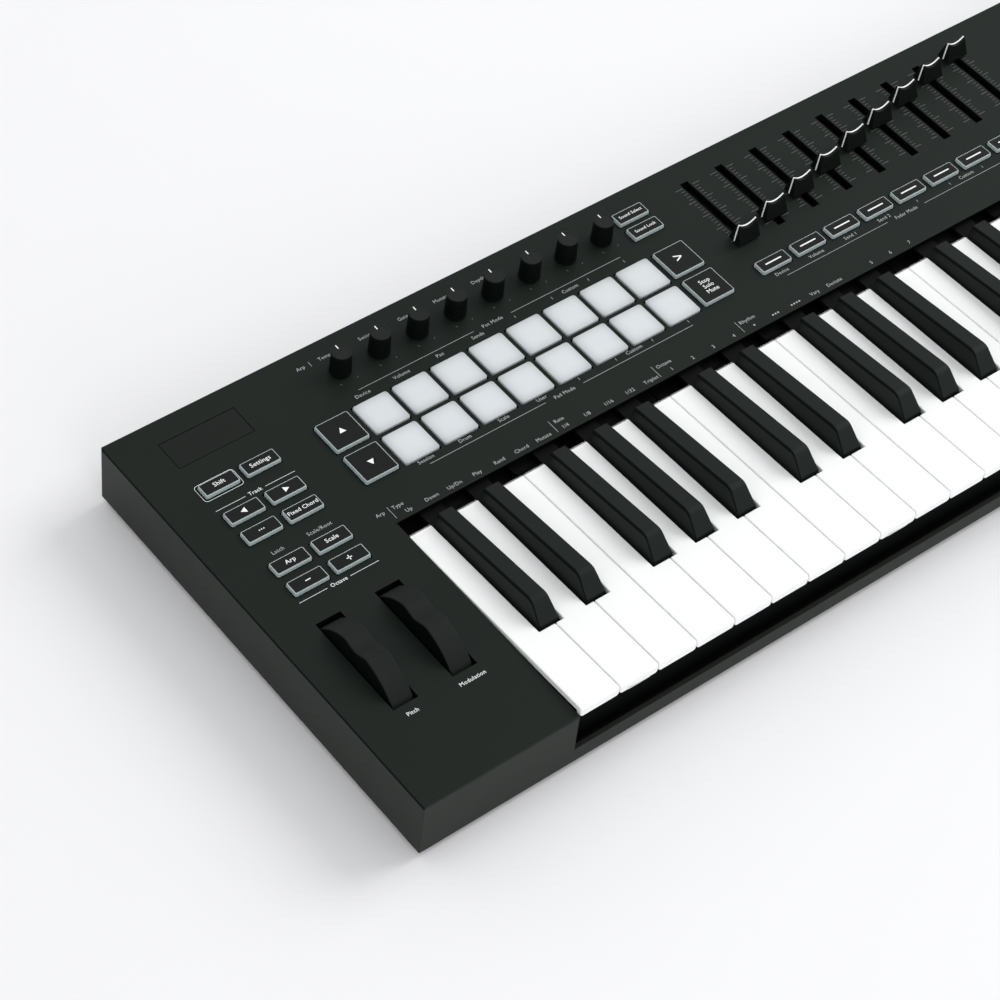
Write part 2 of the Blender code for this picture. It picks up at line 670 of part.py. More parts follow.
def black_profile(rail_top):
    """Side view of a black key: ramp, ridge, falling top and the arm to its rail."""
    front = FRONT + BLACK_FRONT
    rear = FRONT + BLACK_REAR
    base = DECK + BLACK_SHOULDER
    arm_end = RAIL_FRONT + 1.0 * MM
    belly = DECK - BLACK_BELLY
    return [(front, belly), (rear - ARM_DROP, belly), (rear, rail_top - RAIL),
            (arm_end, rail_top - RAIL), (arm_end, rail_top), (rear, rail_top),
            (rear, DECK + BLACK_REAR_RISE), (front + BLACK_RAMP, DECK + BLACK_RIDGE), (front, base)]


def make_black_comb(name, octave, rail_top, parts, cutters):
    """Black keys of one octave moulded on one rail, narrower at the top than at the base."""
    bodies = []
    for step, shift in BLACK_STEPS:
        x = black_centre(octave, step, shift)
        key = prism("black_key", black_profile(rail_top), x - BLACK_BASE / 2, x + BLACK_BASE / 2,
                    cutters, view="side")
        for vertex in key.data.vertices:
            if vertex.co.z > DECK + BLACK_REAR_RISE - WELD:
                vertex.co.x = x + (vertex.co.x - x) * BLACK_TOP / BLACK_BASE
        bodies.append(key)
    comb = gather(name, bodies, parts)
    boolean(comb, rail_box(name + "_rail", octave, rail_top, KEYS_PER_OCTAVE, cutters), "UNION")
    put_origin(comb, (0.0, HINGE_Y, HINGE_Z))
    return comb


def make_keys(parts, cutters):
    """Three combs for each octave, and the top C on the last octave's first comb."""
    combs = {"white": [], "black": []}
    for octave in range(OCTAVES):
        first = "octave_%d_" % (octave + 1)
        outer_steps = (0, 2, 4, 6, 7) if octave == OCTAVES - 1 else (0, 2, 4, 6)
        combs["white"].append(make_white_comb(first + "white_keys_cegb", octave, outer_steps,
                                              RAIL_TOPS[2], parts, cutters))
        combs["white"].append(make_white_comb(first + "white_keys_dfa", octave, (1, 3, 5),
                                              RAIL_TOPS[1], parts, cutters))
        combs["black"].append(make_black_comb(first + "black_keys", octave, RAIL_TOPS[0], parts, cutters))
    return combs


def make_key_frame(parts):
    """Folded chassis that carries the keyboard."""
    front = FRONT + FRAME_FRONT
    rear = RAIL_REAR + 1.0 * MM
    foot = FLOOR + GAP
    inner_top = FRAME_TOP - FRAME_WALL
    outline = [(front, foot), (front + FRAME_WALL, foot), (front + FRAME_WALL, inner_top),
               (rear - FRAME_WALL, inner_top), (rear - FRAME_WALL, foot), (rear, foot),
               (rear, FRAME_TOP), (front, FRAME_TOP)]
    return prism("key_frame", outline, WELL_LEFT + FRAME_END_GAP, WELL_RIGHT - FRAME_END_GAP,
                 parts, view="side")


def keyboard_strip(name, span, low, high, parts):
    """A strip that runs under all the keys."""
    return boxes(name, [((WELL_LEFT + 2 * FRAME_END_GAP, FRONT + span[0], low),
                         (WELL_RIGHT - 2 * FRAME_END_GAP, FRONT + span[1], high))], parts)


# Panel controls.

def make_mat(name, buttons, rise, parts, cutters):
    """A rubber mat: buttons that stand on one web under the panel."""
    spans = [((x - width / 2, y - depth / 2, MAT_TOP - MAT_WEB / 2),
              (x + width / 2, y + depth / 2, DECK + rise)) for x, y, width, depth in buttons]
    mat = boxes(name, spans, parts)
    left = min(span[0][0] for span in spans) - MAT_MARGIN
    front = min(span[0][1] for span in spans) - MAT_MARGIN
    right = max(span[1][0] for span in spans) + MAT_MARGIN
    rear = max(span[1][1] for span in spans) + MAT_MARGIN
    web = boxes(name + "_web", [((left, front, MAT_TOP - MAT_WEB), (right, rear, MAT_TOP))], cutters)
    boolean(mat, web, "UNION")
    return mat


def make_knobs(parts):
    """Eight knobs on their shafts."""
    low = KNOB_LIFT
    profile = [(0.0, KNOB_HEIGHT), (KNOB_TOP / 2, KNOB_HEIGHT), (KNOB_BASE / 2, low), (SHAFT / 2, low),
               (SHAFT / 2, -PLATE - 1.0 * MM), (0.0, -PLATE - 1.0 * MM)]
    knobs = []
    for index, (x, y) in enumerate(knob_centres()):
        knob = turned("knob_%d" % (index + 1), profile, 24, parts)
        knob.location = (x, y, DECK)
        knobs.append(knob)
    return knobs


def cap_profile(x):
    """Front view of a fader cap, whose top is dished from side to side."""
    half = CAP[0] / 2
    low = DECK + CAP_LIFT
    high = low + CAP[2]
    reach = half - CAP_TAPER - CAP_FLAT
    shares = [1 - 2 * step / DISH_STEPS for step in range(DISH_STEPS + 1)]
    dish = [(x + reach * share, high - CAP_DISH * (1 - share ** 2)) for share in shares]
    return ([(x - half, low), (x + half, low), (x + half - CAP_TAPER, high)] + dish
            + [(x - half + CAP_TAPER, high)])


def narrow_crest(cap, y):
    """Leans a cap's front and rear faces in towards its crest."""
    for vertex in cap.data.vertices:
        rise = (vertex.co.z - DECK - CAP_LIFT) / CAP[2]
        half = CAP[1] / 2 - (CAP[1] - CAP_CREST) / 2 * rise
        vertex.co.y = y + math.copysign(half, vertex.co.y - y)


def make_faders(parts, cutters):
    """Nine fader caps on their stems, set along a rising diagonal."""
    faders = []
    for index, x in enumerate(fader_columns()):
        y = REAR - FADER_LOW + index * FADER_STEP
        cap = prism("fader_%d" % (index + 1), cap_profile(x), y - CAP[1] / 2, y + CAP[1] / 2,
                    parts, view="front")
        narrow_crest(cap, y)
        stem = boxes("fader_stem", [((x - STEM[0] / 2, y - STEM[1] / 2, UNDER - 2 * MM),
                                     (x + STEM[0] / 2, y + STEM[1] / 2, DECK + 2 * CAP_LIFT))], cutters)
        boolean(cap, stem, "UNION")
        faders.append(cap)
    return faders


def make_control_board(parts, cutters):
    """L-shaped circuit board with slide and rotary potentiometers and the display module."""
    left = LEFT + BOARD_LEFT
    right = LEFT + BOARD_RIGHT
    rear = REAR - BOARD_REAR
    front = RAIL_REAR + BOARD_TO_RAIL
    neck_right = WELL_LEFT - 2 * WALL
    neck_front = WHEEL_Y + WHEEL_RADIUS + BOARD_TO_WHEEL
    outline = [(left, neck_front), (neck_right, neck_front), (neck_right, front), (right, front),
               (right, rear), (left, rear)]
    board = prism("control_board", outline, BOARD_TOP - BOARD, BOARD_TOP, parts)
    root = BOARD_TOP - BOARD / 2
    blocks = []
    half = ROTARY_BODY / 2
    rotary_top = UNDER - 1.6 * MM
    for x, y in knob_centres():
        blocks.append(((x - half, y - half, root), (x + half, y + half, rotary_top)))
    slider_top = UNDER - 2.6 * MM
    for x in fader_columns():
        blocks.append(((x - SLIDER_BODY / 2, REAR - FADER_LOW - 5 * MM, root),
                       (x + SLIDER_BODY / 2, REAR - FADER_LOW + FADER_TRAVEL + 5 * MM, slider_top)))
    x = LEFT + WINDOW_CENTRE[0]
    y = REAR - WINDOW_CENTRE[1]
    module_top = DECK - WINDOW_THICK - 1.4 * MM
    blocks.append(((x - WINDOW[0] / 2, y - WINDOW[1] / 2, root),
                   (x + WINDOW[0] / 2, y + WINDOW[1] / 2, module_top)))
    boolean(board, boxes("board_parts", blocks, cutters), "UNION")
    return board


# Thumb wheels.

def wheel_profile():
    """Side view of a thumb wheel: rim with a finger dip, and a hub about the axle."""
    rim = arc(WHEEL_RADIUS, -WHEEL_SPREAD, DIP_FROM, 8)
    middle = (DIP_FROM + DIP_TO) / 2
    for step in range(1, 8):
        angle = DIP_FROM + (DIP_TO - DIP_FROM) * step / 8
        fraction = (angle - middle) / (DIP_TO - middle)
        radius = WHEEL_RADIUS - DIP_DEPTH * (1 - fraction ** 2)
        rim.append((radius * math.sin(angle), radius * math.cos(angle)))
    rim += arc(WHEEL_RADIUS, DIP_TO, WHEEL_SPREAD, 7)
    hub = arc(WHEEL_HUB, math.radians(105), math.radians(255), 8)
    return [(WHEEL_Y + y, WHEEL_Z + z) for y, z in rim + hub]


def make_wheel(name, centre, parts, cutters):
    """One thumb wheel, bored for its axle."""
    x = LEFT + centre
    wheel = prism(name, wheel_profile(), x - WHEEL_WIDTH / 2, x + WHEEL_WIDTH / 2, parts, view="side")
    axis = (x, WHEEL_Y, WHEEL_Z)
    bore = rod(name + "_bore", axis, AXLE + 2 * AXLE_GAP, 2 * WHEEL_WIDTH, "X", 16, cutters)
    boolean(wheel, bore, "DIFFERENCE")
    put_origin(wheel, axis)
    return wheel


def make_wheel_bracket(parts, cutters):
    """Three plates, a cross bar and the axle that both wheels turn on."""
    y = WHEEL_Y
    foot = FLOOR + GAP
    front = y - BRACKET_REACH[0]
    rear = y + BRACKET_REACH[1]
    top = WHEEL_Z + WHEEL_HUB
    outline = [(front, foot), (rear, foot), (rear, top), (y - BRACKET_REACH[1], top), (front, foot + 6 * MM)]
    half = WHEEL_WIDTH / 2 + BRACKET_SIDE_GAP
    left_x = LEFT + WHEEL_CENTRES[0]
    right_x = LEFT + WHEEL_CENTRES[1]
    starts = (left_x - half - BRACKET_PLATE, (left_x + right_x - BRACKET_PLATE) / 2, right_x + half)
    plates = [prism("bracket_plate", outline, start, start + BRACKET_PLATE, cutters, view="side")
              for start in starts]
    bracket = gather("wheel_bracket", plates, parts)
    low_x = starts[0] + BRACKET_PLATE / 2
    high_x = starts[2] + BRACKET_PLATE / 2
    bar = boxes("bracket_bar", [((low_x, front + 1 * MM, foot + 1 * MM),
                                 (high_x, front + 8 * MM, foot + 4 * MM))], cutters)
    boolean(bracket, bar, "UNION")
    axle = rod("bracket_axle", ((low_x + high_x) / 2, y, WHEEL_Z), AXLE, high_x - low_x, "X", 16, cutters)
    boolean(bracket, axle, "UNION")
    return bracket


# Assembly.

def clear_scene():
    """Remove what the scene holds."""
    for obj in list(bpy.data.objects):
        bpy.data.objects.remove(obj)


def new_collection(name):
    """A collection linked to the scene."""
    collection = bpy.data.collections.new(name)
    bpy.context.scene.collection.children.link(collection)
    return collection


def dress(objects, finish):
    """Give objects one finish."""
    for obj in objects:
        obj.data.materials.clear()
        obj.data.materials.append(finish)


def main():
    """Build every piece."""
    clear_scene()
    parts = new_collection("synthesizer")
    cutters = new_collection("cutters")

    casing = [make_top_case(parts, cutters), make_bottom_case(parts, cutters)]
    dress(casing, material("case_plastic", (0.032, 0.036, 0.034), 0.55))
    dress(make_feet(parts), material("foot_rubber", (0.02, 0.02, 0.02), 0.85))
    dress(make_screws(parts), material("screw_steel", (0.35, 0.35, 0.36), 0.35, 1.0))
    dress([make_window(parts)], material("window_acrylic", (0.05, 0.02, 0.02), 0.12))

    sockets = [make_usb_socket(parts, cutters), make_midi_socket(parts, cutters),
               make_pedal_socket(parts, cutters)]
    dress(sockets, material("socket_plastic", (0.015, 0.015, 0.016), 0.4))

    combs = make_keys(parts, cutters)
    dress(combs["white"], material("white_key_plastic", (0.86, 0.87, 0.88), 0.22))
    dress(combs["black"], material("black_key_plastic", (0.03, 0.032, 0.032), 0.4))
    dress([make_key_frame(parts)], material("frame_plastic", (0.02, 0.02, 0.02), 0.6))

    board_low = FRAME_TOP + GAP
    board_high = board_low + BOARD
    contact_board = keyboard_strip("key_contact_board", CONTACT_BOARD_SPAN, board_low, board_high, parts)
    control_board = make_control_board(parts, cutters)
    dress([contact_board, control_board], material("board_green", (0.02, 0.12, 0.05), 0.45))
    contact_strip = keyboard_strip("key_contact_strip", CONTACT_STRIP_SPAN, board_high + GAP,
                                   DECK - STRIP_DROP, parts)
    dress([contact_strip], material("contact_rubber", (0.18, 0.18, 0.2), 0.8))
    felt = keyboard_strip("key_stop_felt", FELT_SPAN, FRAME_TOP + GAP, DECK - FELT_DROP, parts)
    dress([felt], material("stop_felt", (0.25, 0.03, 0.03), 0.95))

    mats = [make_mat(name, buttons, BUTTON_RISE, parts, cutters)
            for name, buttons in button_groups().items()]
    dress(mats, material("button_rubber", (0.03, 0.033, 0.035), 0.6))
    dress([make_mat("pad_mat", pad_grid(), PAD_RISE, parts, cutters)],
          material("pad_silicone", (0.66, 0.7, 0.72), 0.5))
    dress(make_knobs(parts), material("knob_rubber", (0.02, 0.021, 0.021), 0.5))
    dress(make_faders(parts, cutters), material("cap_plastic", (0.018, 0.019, 0.019), 0.28))

    wheels = [make_wheel("pitch_wheel", WHEEL_CENTRES[0], parts, cutters),
              make_wheel("modulation_wheel", WHEEL_CENTRES[1], parts, cutters)]
    dress(wheels, material("wheel_rubber", (0.03, 0.033, 0.032), 0.5))
    dress([make_wheel_bracket(parts, cutters)], material("bracket_plastic", (0.06, 0.06, 0.06), 0.6))


main()
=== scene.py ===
"""Looks of a forty-nine-key synthesizer keyboard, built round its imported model.

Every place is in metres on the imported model's own frame: the origin is on the ground
under the middle of the body, +X runs towards the high notes and +Y towards the rear.
"""

from __future__ import annotations

import json
import logging
import math
from collections.abc import Callable, Sequence
from dataclasses import dataclass
from enum import Enum

import bmesh
import bpy
from mathutils import Matrix, Vector


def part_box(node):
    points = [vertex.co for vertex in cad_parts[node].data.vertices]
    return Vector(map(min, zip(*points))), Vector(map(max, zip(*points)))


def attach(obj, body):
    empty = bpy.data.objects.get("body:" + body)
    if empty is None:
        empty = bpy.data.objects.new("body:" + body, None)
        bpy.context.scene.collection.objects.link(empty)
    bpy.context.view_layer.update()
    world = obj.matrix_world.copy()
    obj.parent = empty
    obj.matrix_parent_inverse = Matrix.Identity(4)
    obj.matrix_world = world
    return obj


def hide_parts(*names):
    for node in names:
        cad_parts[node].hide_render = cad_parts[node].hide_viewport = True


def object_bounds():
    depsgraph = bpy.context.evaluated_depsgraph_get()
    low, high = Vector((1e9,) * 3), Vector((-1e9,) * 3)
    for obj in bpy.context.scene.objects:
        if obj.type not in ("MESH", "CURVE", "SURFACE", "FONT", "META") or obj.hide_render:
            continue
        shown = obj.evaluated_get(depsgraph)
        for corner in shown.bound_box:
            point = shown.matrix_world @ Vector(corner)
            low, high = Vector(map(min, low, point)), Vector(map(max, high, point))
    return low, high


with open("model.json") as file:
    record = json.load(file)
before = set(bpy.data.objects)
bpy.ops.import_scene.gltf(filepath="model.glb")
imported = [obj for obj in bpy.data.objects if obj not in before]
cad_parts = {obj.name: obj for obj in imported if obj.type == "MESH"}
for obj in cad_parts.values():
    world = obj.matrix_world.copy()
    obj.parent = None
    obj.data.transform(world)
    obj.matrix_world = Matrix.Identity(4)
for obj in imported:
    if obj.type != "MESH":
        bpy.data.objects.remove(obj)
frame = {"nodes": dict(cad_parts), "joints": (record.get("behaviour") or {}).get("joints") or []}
CAD_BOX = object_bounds()

log = logging.getLogger("synthesizer")
MM = 0.001
# Places closer than this count as one.
NEAR = 0.02 * MM
# How thick the ink stands, with half of it under the surface.
INK = 0.05 * MM
# How far under the deck a rubber mat's web is kept.
WEB_DROP = 4.7 * MM
# How much further apart than their own spacing the printed letters stand.
LETTER_SPACE = 1.04
# The mould grain: its coarse layer's fineness and weight, how much of the fine layer shows
# in the tone, and the slow changes of tone and of polish to the metre.
COARSE_FINENESS = 0.37
COARSE_WEIGHT = 0.35
FINE_IN_TONE = 0.5
TONE_PATCHES = 22.0
POLISH_PATCHES = 61.0
# The dust: specks and drifts to the metre, and its tone.
DUST_SPECKS = 900.0
DUST_DRIFTS = 14.0
DUST_TONE = (0.6, 0.58, 0.55, 1.0)
COAT_ROUGHNESS = 0.06

Colour = tuple[float, float, float]
PlaceTest = Callable[[Vector], bool]
FaceTest = Callable[[Vector, Vector], bool]
Span = tuple[Vector, Vector]


class Axis(Enum):
    """Which way a turned piece's middle line runs, as the turn that lays it there."""

    X = (0.0, math.pi / 2, 0.0)
    Y = (math.pi / 2, 0.0, 0.0)
    Z = (0.0, 0.0, 0.0)


class Heading(Enum):
    """Which way a printed arrow points, as its turn about +Z from pointing rearwards."""

    UP = 0.0
    LEFT = math.pi / 2
    DOWN = math.pi
    RIGHT = -math.pi / 2


# Node groups shared by the finishes.


class Wiring:
    """A node tree while its nodes are placed and joined."""

    def __init__(self, tree: bpy.types.NodeTree) -> None:
        """Keeps the tree.

        Args:
            tree: The node tree to add to.
        """
        self.tree = tree

    def node(self, kind: str, **settings: object) -> bpy.types.Node:
        """Adds one node.

        Args:
            kind: The node's Blender type.
            settings: Properties to set on it.

        Returns:
            The new node.
        """
        made = self.tree.nodes.new(kind)
        for key, value in settings.items():
            setattr(made, key, value)
        return made

    def join(self, source: bpy.types.NodeSocket, target: bpy.types.NodeSocket) -> None:
        """Joins an output to an input."""
        self.tree.links.new(source, target)

    def sums(self, operation: str, first: object, second: object) -> bpy.types.NodeSocket:
        """Adds a Math node.

        Args:
            operation: The Math node's operation.
            first: A socket or a number.
            second: A socket or a number.

        Returns:
            The node's output.
        """
        made = self.node("ShaderNodeMath", operation=operation)
        for socket, value in zip(made.inputs, (first, second)):
            if isinstance(value, bpy.types.NodeSocket):
                self.join(value, socket)
            else:
                socket.default_value = value
        return made.outputs[0]

    def noise(self, place: bpy.types.NodeSocket, scale: object, detail: float) -> bpy.types.NodeSocket:
        """Adds a noise pattern.

        Args:
            place: The coordinates that it reads.
            scale: A socket or a number, in features to the metre.
            detail: How many finer layers it has.

        Returns:
            Its value output.
        """
        made = self.node("ShaderNodeTexNoise")
        made.inputs["Detail"].default_value = detail
        self.join(place, made.inputs["Vector"])
        if isinstance(scale, bpy.types.NodeSocket):
            self.join(scale, made.inputs["Scale"])
        else:
            made.inputs["Scale"].default_value = scale
        return made.outputs["Fac"]

    def tinted(self, colour: bpy.types.NodeSocket, factor: bpy.types.NodeSocket) -> bpy.types.NodeSocket:
        """Multiplies a colour by a value and returns the result's output."""
        made = self.node("ShaderNodeVectorMath", operation="SCALE")
        self.join(colour, made.inputs[0])
        self.join(factor, made.inputs["Scale"])
        return made.outputs[0]


def new_group(name: str, inputs: Sequence[tuple[str, str, float | None]],
              outputs: Sequence[tuple[str, str]]) -> tuple[Wiring, bpy.types.Node, bpy.types.Node]:
    """Starts a node group with named sockets.

    Args:
        name: The group's name.
        inputs: Name, socket type and default value of each input.
        outputs: Name and socket type of each output.

    Returns:
        The group's wiring, its input node and its output node.
    """
    tree = bpy.data.node_groups.new(name, "ShaderNodeTree")
    for label, kind, value in inputs:
        socket = tree.interface.new_socket(name=label, in_out="INPUT", socket_type=kind)
        if value is not None:
            socket.default_value = value
    for label, kind in outputs:
        tree.interface.new_socket(name=label, in_out="OUTPUT", socket_type=kind)
    wiring = Wiring(tree)
    return wiring, wiring.node("NodeGroupInput"), wiring.node("NodeGroupOutput")


def grain_group() -> bpy.types.NodeTree:
    """Builds the mould grain: fine texture, slow changes of tone and slow changes of polish.

    Returns:
        The group, which puts out Colour, Roughness and Height.
    """
    wiring, given, made = new_group(
        "mould_grain",
        (("Place", "NodeSocketVector", None), ("Colour", "NodeSocketColor", None),
         ("Fineness", "NodeSocketFloat", 2600.0), ("Mottle", "NodeSocketFloat", 0.06),
         ("Roughness", "NodeSocketFloat", 0.5), ("Polish", "NodeSocketFloat", 0.04)),
        (("Colour", "NodeSocketColor"), ("Roughness", "NodeSocketFloat"), ("Height", "NodeSocketFloat")))
    place = given.outputs["Place"]
    fine = wiring.noise(place, given.outputs["Fineness"], 2.0)
    coarse = wiring.noise(place, wiring.sums("MULTIPLY", given.outputs["Fineness"], COARSE_FINENESS), 1.0)
    slow = wiring.noise(place, TONE_PATCHES, 4.0)
    patchy = wiring.noise(place, POLISH_PATCHES, 2.0)
    height = wiring.sums("ADD", wiring.sums("MULTIPLY", fine, 1 - COARSE_WEIGHT),
                         wiring.sums("MULTIPLY", coarse, COARSE_WEIGHT))
    wiring.join(height, made.inputs["Height"])
    swing = wiring.sums("SUBTRACT", wiring.sums("ADD", slow, wiring.sums("MULTIPLY", fine, FINE_IN_TONE)),
                        (1 + FINE_IN_TONE) / 2)
    tone = wiring.sums("ADD", wiring.sums("MULTIPLY", swing, given.outputs["Mottle"]), 1.0)
    wiring.join(wiring.tinted(given.outputs["Colour"], tone), made.inputs["Colour"])
    shift = wiring.sums("MULTIPLY", wiring.sums("SUBTRACT", patchy, 0.5), given.outputs["Polish"])
    wiring.join(wiring.sums("ADD", given.outputs["Roughness"], shift), made.inputs["Roughness"])
    return wiring.tree


def dust_group() -> bpy.types.NodeTree:
    """Builds the dust that settles on surfaces that face upwards.

    Returns:
        The group, which puts out a Colour with the dust on it.
    """
    wiring, given, made = new_group(
        "settled_dust",
        (("Place", "NodeSocketVector", None), ("Colour", "NodeSocketColor", None),
         ("Amount", "NodeSocketFloat", 0.01)),
        (("Colour", "NodeSocketColor"),))
    surface = wiring.node("ShaderNodeNewGeometry")
    parts = wiring.node("ShaderNodeSeparateXYZ")
    wiring.join(surface.outputs["Normal"], parts.inputs[0])
    upward = wiring.sums("MAXIMUM", parts.outputs["Z"], 0.0)
    specks = wiring.sums("POWER", wiring.noise(given.outputs["Place"], DUST_SPECKS, 3.0), 3.0)
    drift = wiring.noise(given.outputs["Place"], DUST_DRIFTS, 3.0)
    settled = wiring.sums("MULTIPLY", wiring.sums("ADD", specks, drift), upward)
    mask = wiring.sums("MULTIPLY", settled, given.outputs["Amount"])
    mix = wiring.node("ShaderNodeMix", data_type="RGBA")
    mix.inputs["B"].default_value = DUST_TONE
    wiring.join(mask, mix.inputs["Factor"])
    wiring.join(given.outputs["Colour"], mix.inputs["A"])
    wiring.join(mix.outputs["Result"], made.inputs["Colour"])
    return wiring.tree


# Finishes.


@dataclass(frozen=True)
class Finish:
    """A moulded finish: colour, gloss, grain and what settles on it.

    Attributes:
        name: The material's name.
        colour: Its plain colour, linear.
        roughness: Its middle roughness.
        fineness: Grain features to the metre.
        depth: Height of the grain, in metres.
        mottle: How far its tone wanders.
        polish: How far its roughness wanders.
        dust: How much dust lies on its upward faces.
        metallic: 1 for a metal.
        coat: Weight of a clear coat.
        specular: Level of its plain reflection.
        subsurface: How much light goes in under the surface.
        reach: How far that light goes, in metres.
    """

    name: str
    colour: Colour
    roughness: float
    fineness: float = 2600.0
    depth: float = 0.010 * MM
    mottle: float = 0.08
    polish: float = 0.06
    dust: float = 0.0
    metallic: float = 0.0
    coat: float = 0.0
    specular: float = 0.5
    subsurface: float = 0.0
    reach: float = 1.0 * MM

    def material(self) -> bpy.types.Material:
        """Returns the material, which is built at its first use."""
        return bpy.data.materials.get(self.name) or self.build()

    def build(self) -> bpy.types.Material:
        """Builds the material.

        Returns:
            The new material.
        """
        made = bpy.data.materials.new(self.name)
        made.use_nodes = True
        made.node_tree.nodes.clear()
        wiring = Wiring(made.node_tree)
        output = wiring.node("ShaderNodeOutputMaterial")
        shader = wiring.node("ShaderNodeBsdfPrincipled")
        wiring.join(shader.outputs["BSDF"], output.inputs["Surface"])
        shader.inputs["Metallic"].default_value = self.metallic
        shader.inputs["Coat Weight"].default_value = self.coat
        shader.inputs["Coat Roughness"].default_value = COAT_ROUGHNESS
        shader.inputs["Specular IOR Level"].default_value = self.specular
        shader.inputs["Subsurface Weight"].default_value = self.subsurface
        shader.inputs["Subsurface Scale"].default_value = self.reach
        shader.inputs["Subsurface Radius"].default_value = (1.0, 1.0, 1.0)
        place = wiring.node("ShaderNodeTexCoord").outputs["Object"]
        grain = wiring.node("ShaderNodeGroup", node_tree=shared_group("mould_grain", grain_group))
        wiring.join(place, grain.inputs["Place"])
        wiring.join(self.pattern(wiring, place), grain.inputs["Colour"])
        grain.inputs["Fineness"].default_value = self.fineness
        grain.inputs["Mottle"].default_value = self.mottle
        grain.inputs["Roughness"].default_value = self.roughness
        grain.inputs["Polish"].default_value = self.polish
        dust = wiring.node("ShaderNodeGroup", node_tree=shared_group("settled_dust", dust_group))
        wiring.join(place, dust.inputs["Place"])
        wiring.join(grain.outputs["Colour"], dust.inputs["Colour"])
        dust.inputs["Amount"].default_value = self.dust
        wiring.join(dust.outputs["Colour"], shader.inputs["Base Color"])
        wiring.join(grain.outputs["Roughness"], shader.inputs["Roughness"])
        relief = wiring.node("ShaderNodeBump")
        relief.inputs["Distance"].default_value = self.depth
        wiring.join(self.height(wiring, place, grain.outputs["Height"]), relief.inputs["Height"])
        wiring.join(relief.outputs["Normal"], shader.inputs["Normal"])
        return made

    def pattern(self, wiring: Wiring, place: bpy.types.NodeSocket) -> bpy.types.NodeSocket:
        """Gives the colour before grain and dust.

        Args:
            wiring: The material's wiring.
            place: The coordinates to read.

        Returns:
            The colour's output.
        """
        plain = wiring.node("ShaderNodeRGB")
        plain.outputs[0].default_value = (*self.colour, 1.0)
        return plain.outputs[0]

    def height(self, wiring: Wiring, place: bpy.types.NodeSocket,
               grain: bpy.types.NodeSocket) -> bpy.types.NodeSocket:
        """Gives the relief, which is the grain alone unless a finish adds to it."""
        return grain


@dataclass(frozen=True)
class BrushedSteel(Finish):
    """Steel with fine lines brushed along X.

    Attributes:
        lines: Brush lines to the metre.
        squash: How far a line is drawn out, as a share of its width over its length.
    """

    metallic: float = 1.0
    lines: float = 5200.0
    squash: float = 0.03

    def height(self, wiring: Wiring, place: bpy.types.NodeSocket,
               grain: bpy.types.NodeSocket) -> bpy.types.NodeSocket:
        """Adds the brush lines to the grain.

        Args:
            wiring: The material's wiring.
            place: The coordinates to read.
            grain: The grain's height.

        Returns:
            The height's output.
        """
        stretched = wiring.node("ShaderNodeMapping")
        stretched.inputs["Scale"].default_value = (self.squash, 1.0, 1.0)
        wiring.join(place, stretched.inputs["Vector"])
        return wiring.sums("ADD", grain, wiring.noise(stretched.outputs[0], self.lines, 2.0))


@dataclass(frozen=True)
class BoardFinish(Finish):
    """Circuit board: black mask over copper tracks, with tinned pads.

    Attributes:
        track: Tone of the mask over a track.
        solder: Tone of a tinned pad.
        tracks: Tracks to the metre.
        track_reach: How far from a cell's middle its track starts, as a share of the cell.
        pad_reach: How far its pad reaches.
    """

    track: Colour = (0.010, 0.011, 0.010)
    solder: Colour = (0.030, 0.028, 0.022)
    tracks: float = 230.0
    track_reach: float = 0.44
    pad_reach: float = 0.10

    def pattern(self, wiring: Wiring, place: bpy.types.NodeSocket) -> bpy.types.NodeSocket:
        """Gives the mask, the tracks under it and the pads.

        Args:
            wiring: The material's wiring.
            place: The coordinates to read.

        Returns:
            The colour's output.
        """
        cells = wiring.node("ShaderNodeTexVoronoi", distance="CHEBYCHEV", feature="F1")
        cells.inputs["Scale"].default_value = self.tracks
        wiring.join(place, cells.inputs["Vector"])
        lines = wiring.sums("GREATER_THAN", cells.outputs["Distance"], self.track_reach)
        pads = wiring.sums("LESS_THAN", cells.outputs["Distance"], self.pad_reach)
        colour = self.colour
        for mask, tone in ((lines, self.track), (pads, self.solder)):
            mix = wiring.node("ShaderNodeMix", data_type="RGBA")
            mix.inputs["B"].default_value = (*tone, 1.0)
            wiring.join(mask, mix.inputs["Factor"])
            if isinstance(colour, tuple):
                mix.inputs["A"].default_value = (*colour, 1.0)
            else:
                wiring.join(colour, mix.inputs["A"])
            colour = mix.outputs["Result"]
        return colour


@dataclass(frozen=True)
class FeltFinish(Finish):
    """Pressed felt, whose fibres cross in every direction.

    Attributes:
        fibres: Fibres to the metre.
        squash: A fibre's width as a share of its length.
        lay: How far the fibres lie off X and Y, in radians.
    """

    fibres: float = 1400.0
    squash: float = 0.2
    lay: float = 0.6

    def height(self, wiring: Wiring, place: bpy.types.NodeSocket,
               grain: bpy.types.NodeSocket) -> bpy.types.NodeSocket:
        """Adds long crossing fibres to the grain.

        Args:
            wiring: The material's wiring.
            place: The coordinates to read.
            grain: The grain's height.

        Returns:
            The height's output.
        """
        total = grain
        for stretch in ((self.squash, 1.0, 1.0), (1.0, self.squash, 1.0)):
            turned = wiring.node("ShaderNodeMapping")
            turned.inputs["Scale"].default_value = stretch
            turned.inputs["Rotation"].default_value = (0.0, 0.0, self.lay)
            wiring.join(place, turned.inputs["Vector"])
            total = wiring.sums("ADD", total, wiring.noise(turned.outputs[0], self.fibres, 3.0))
        return total


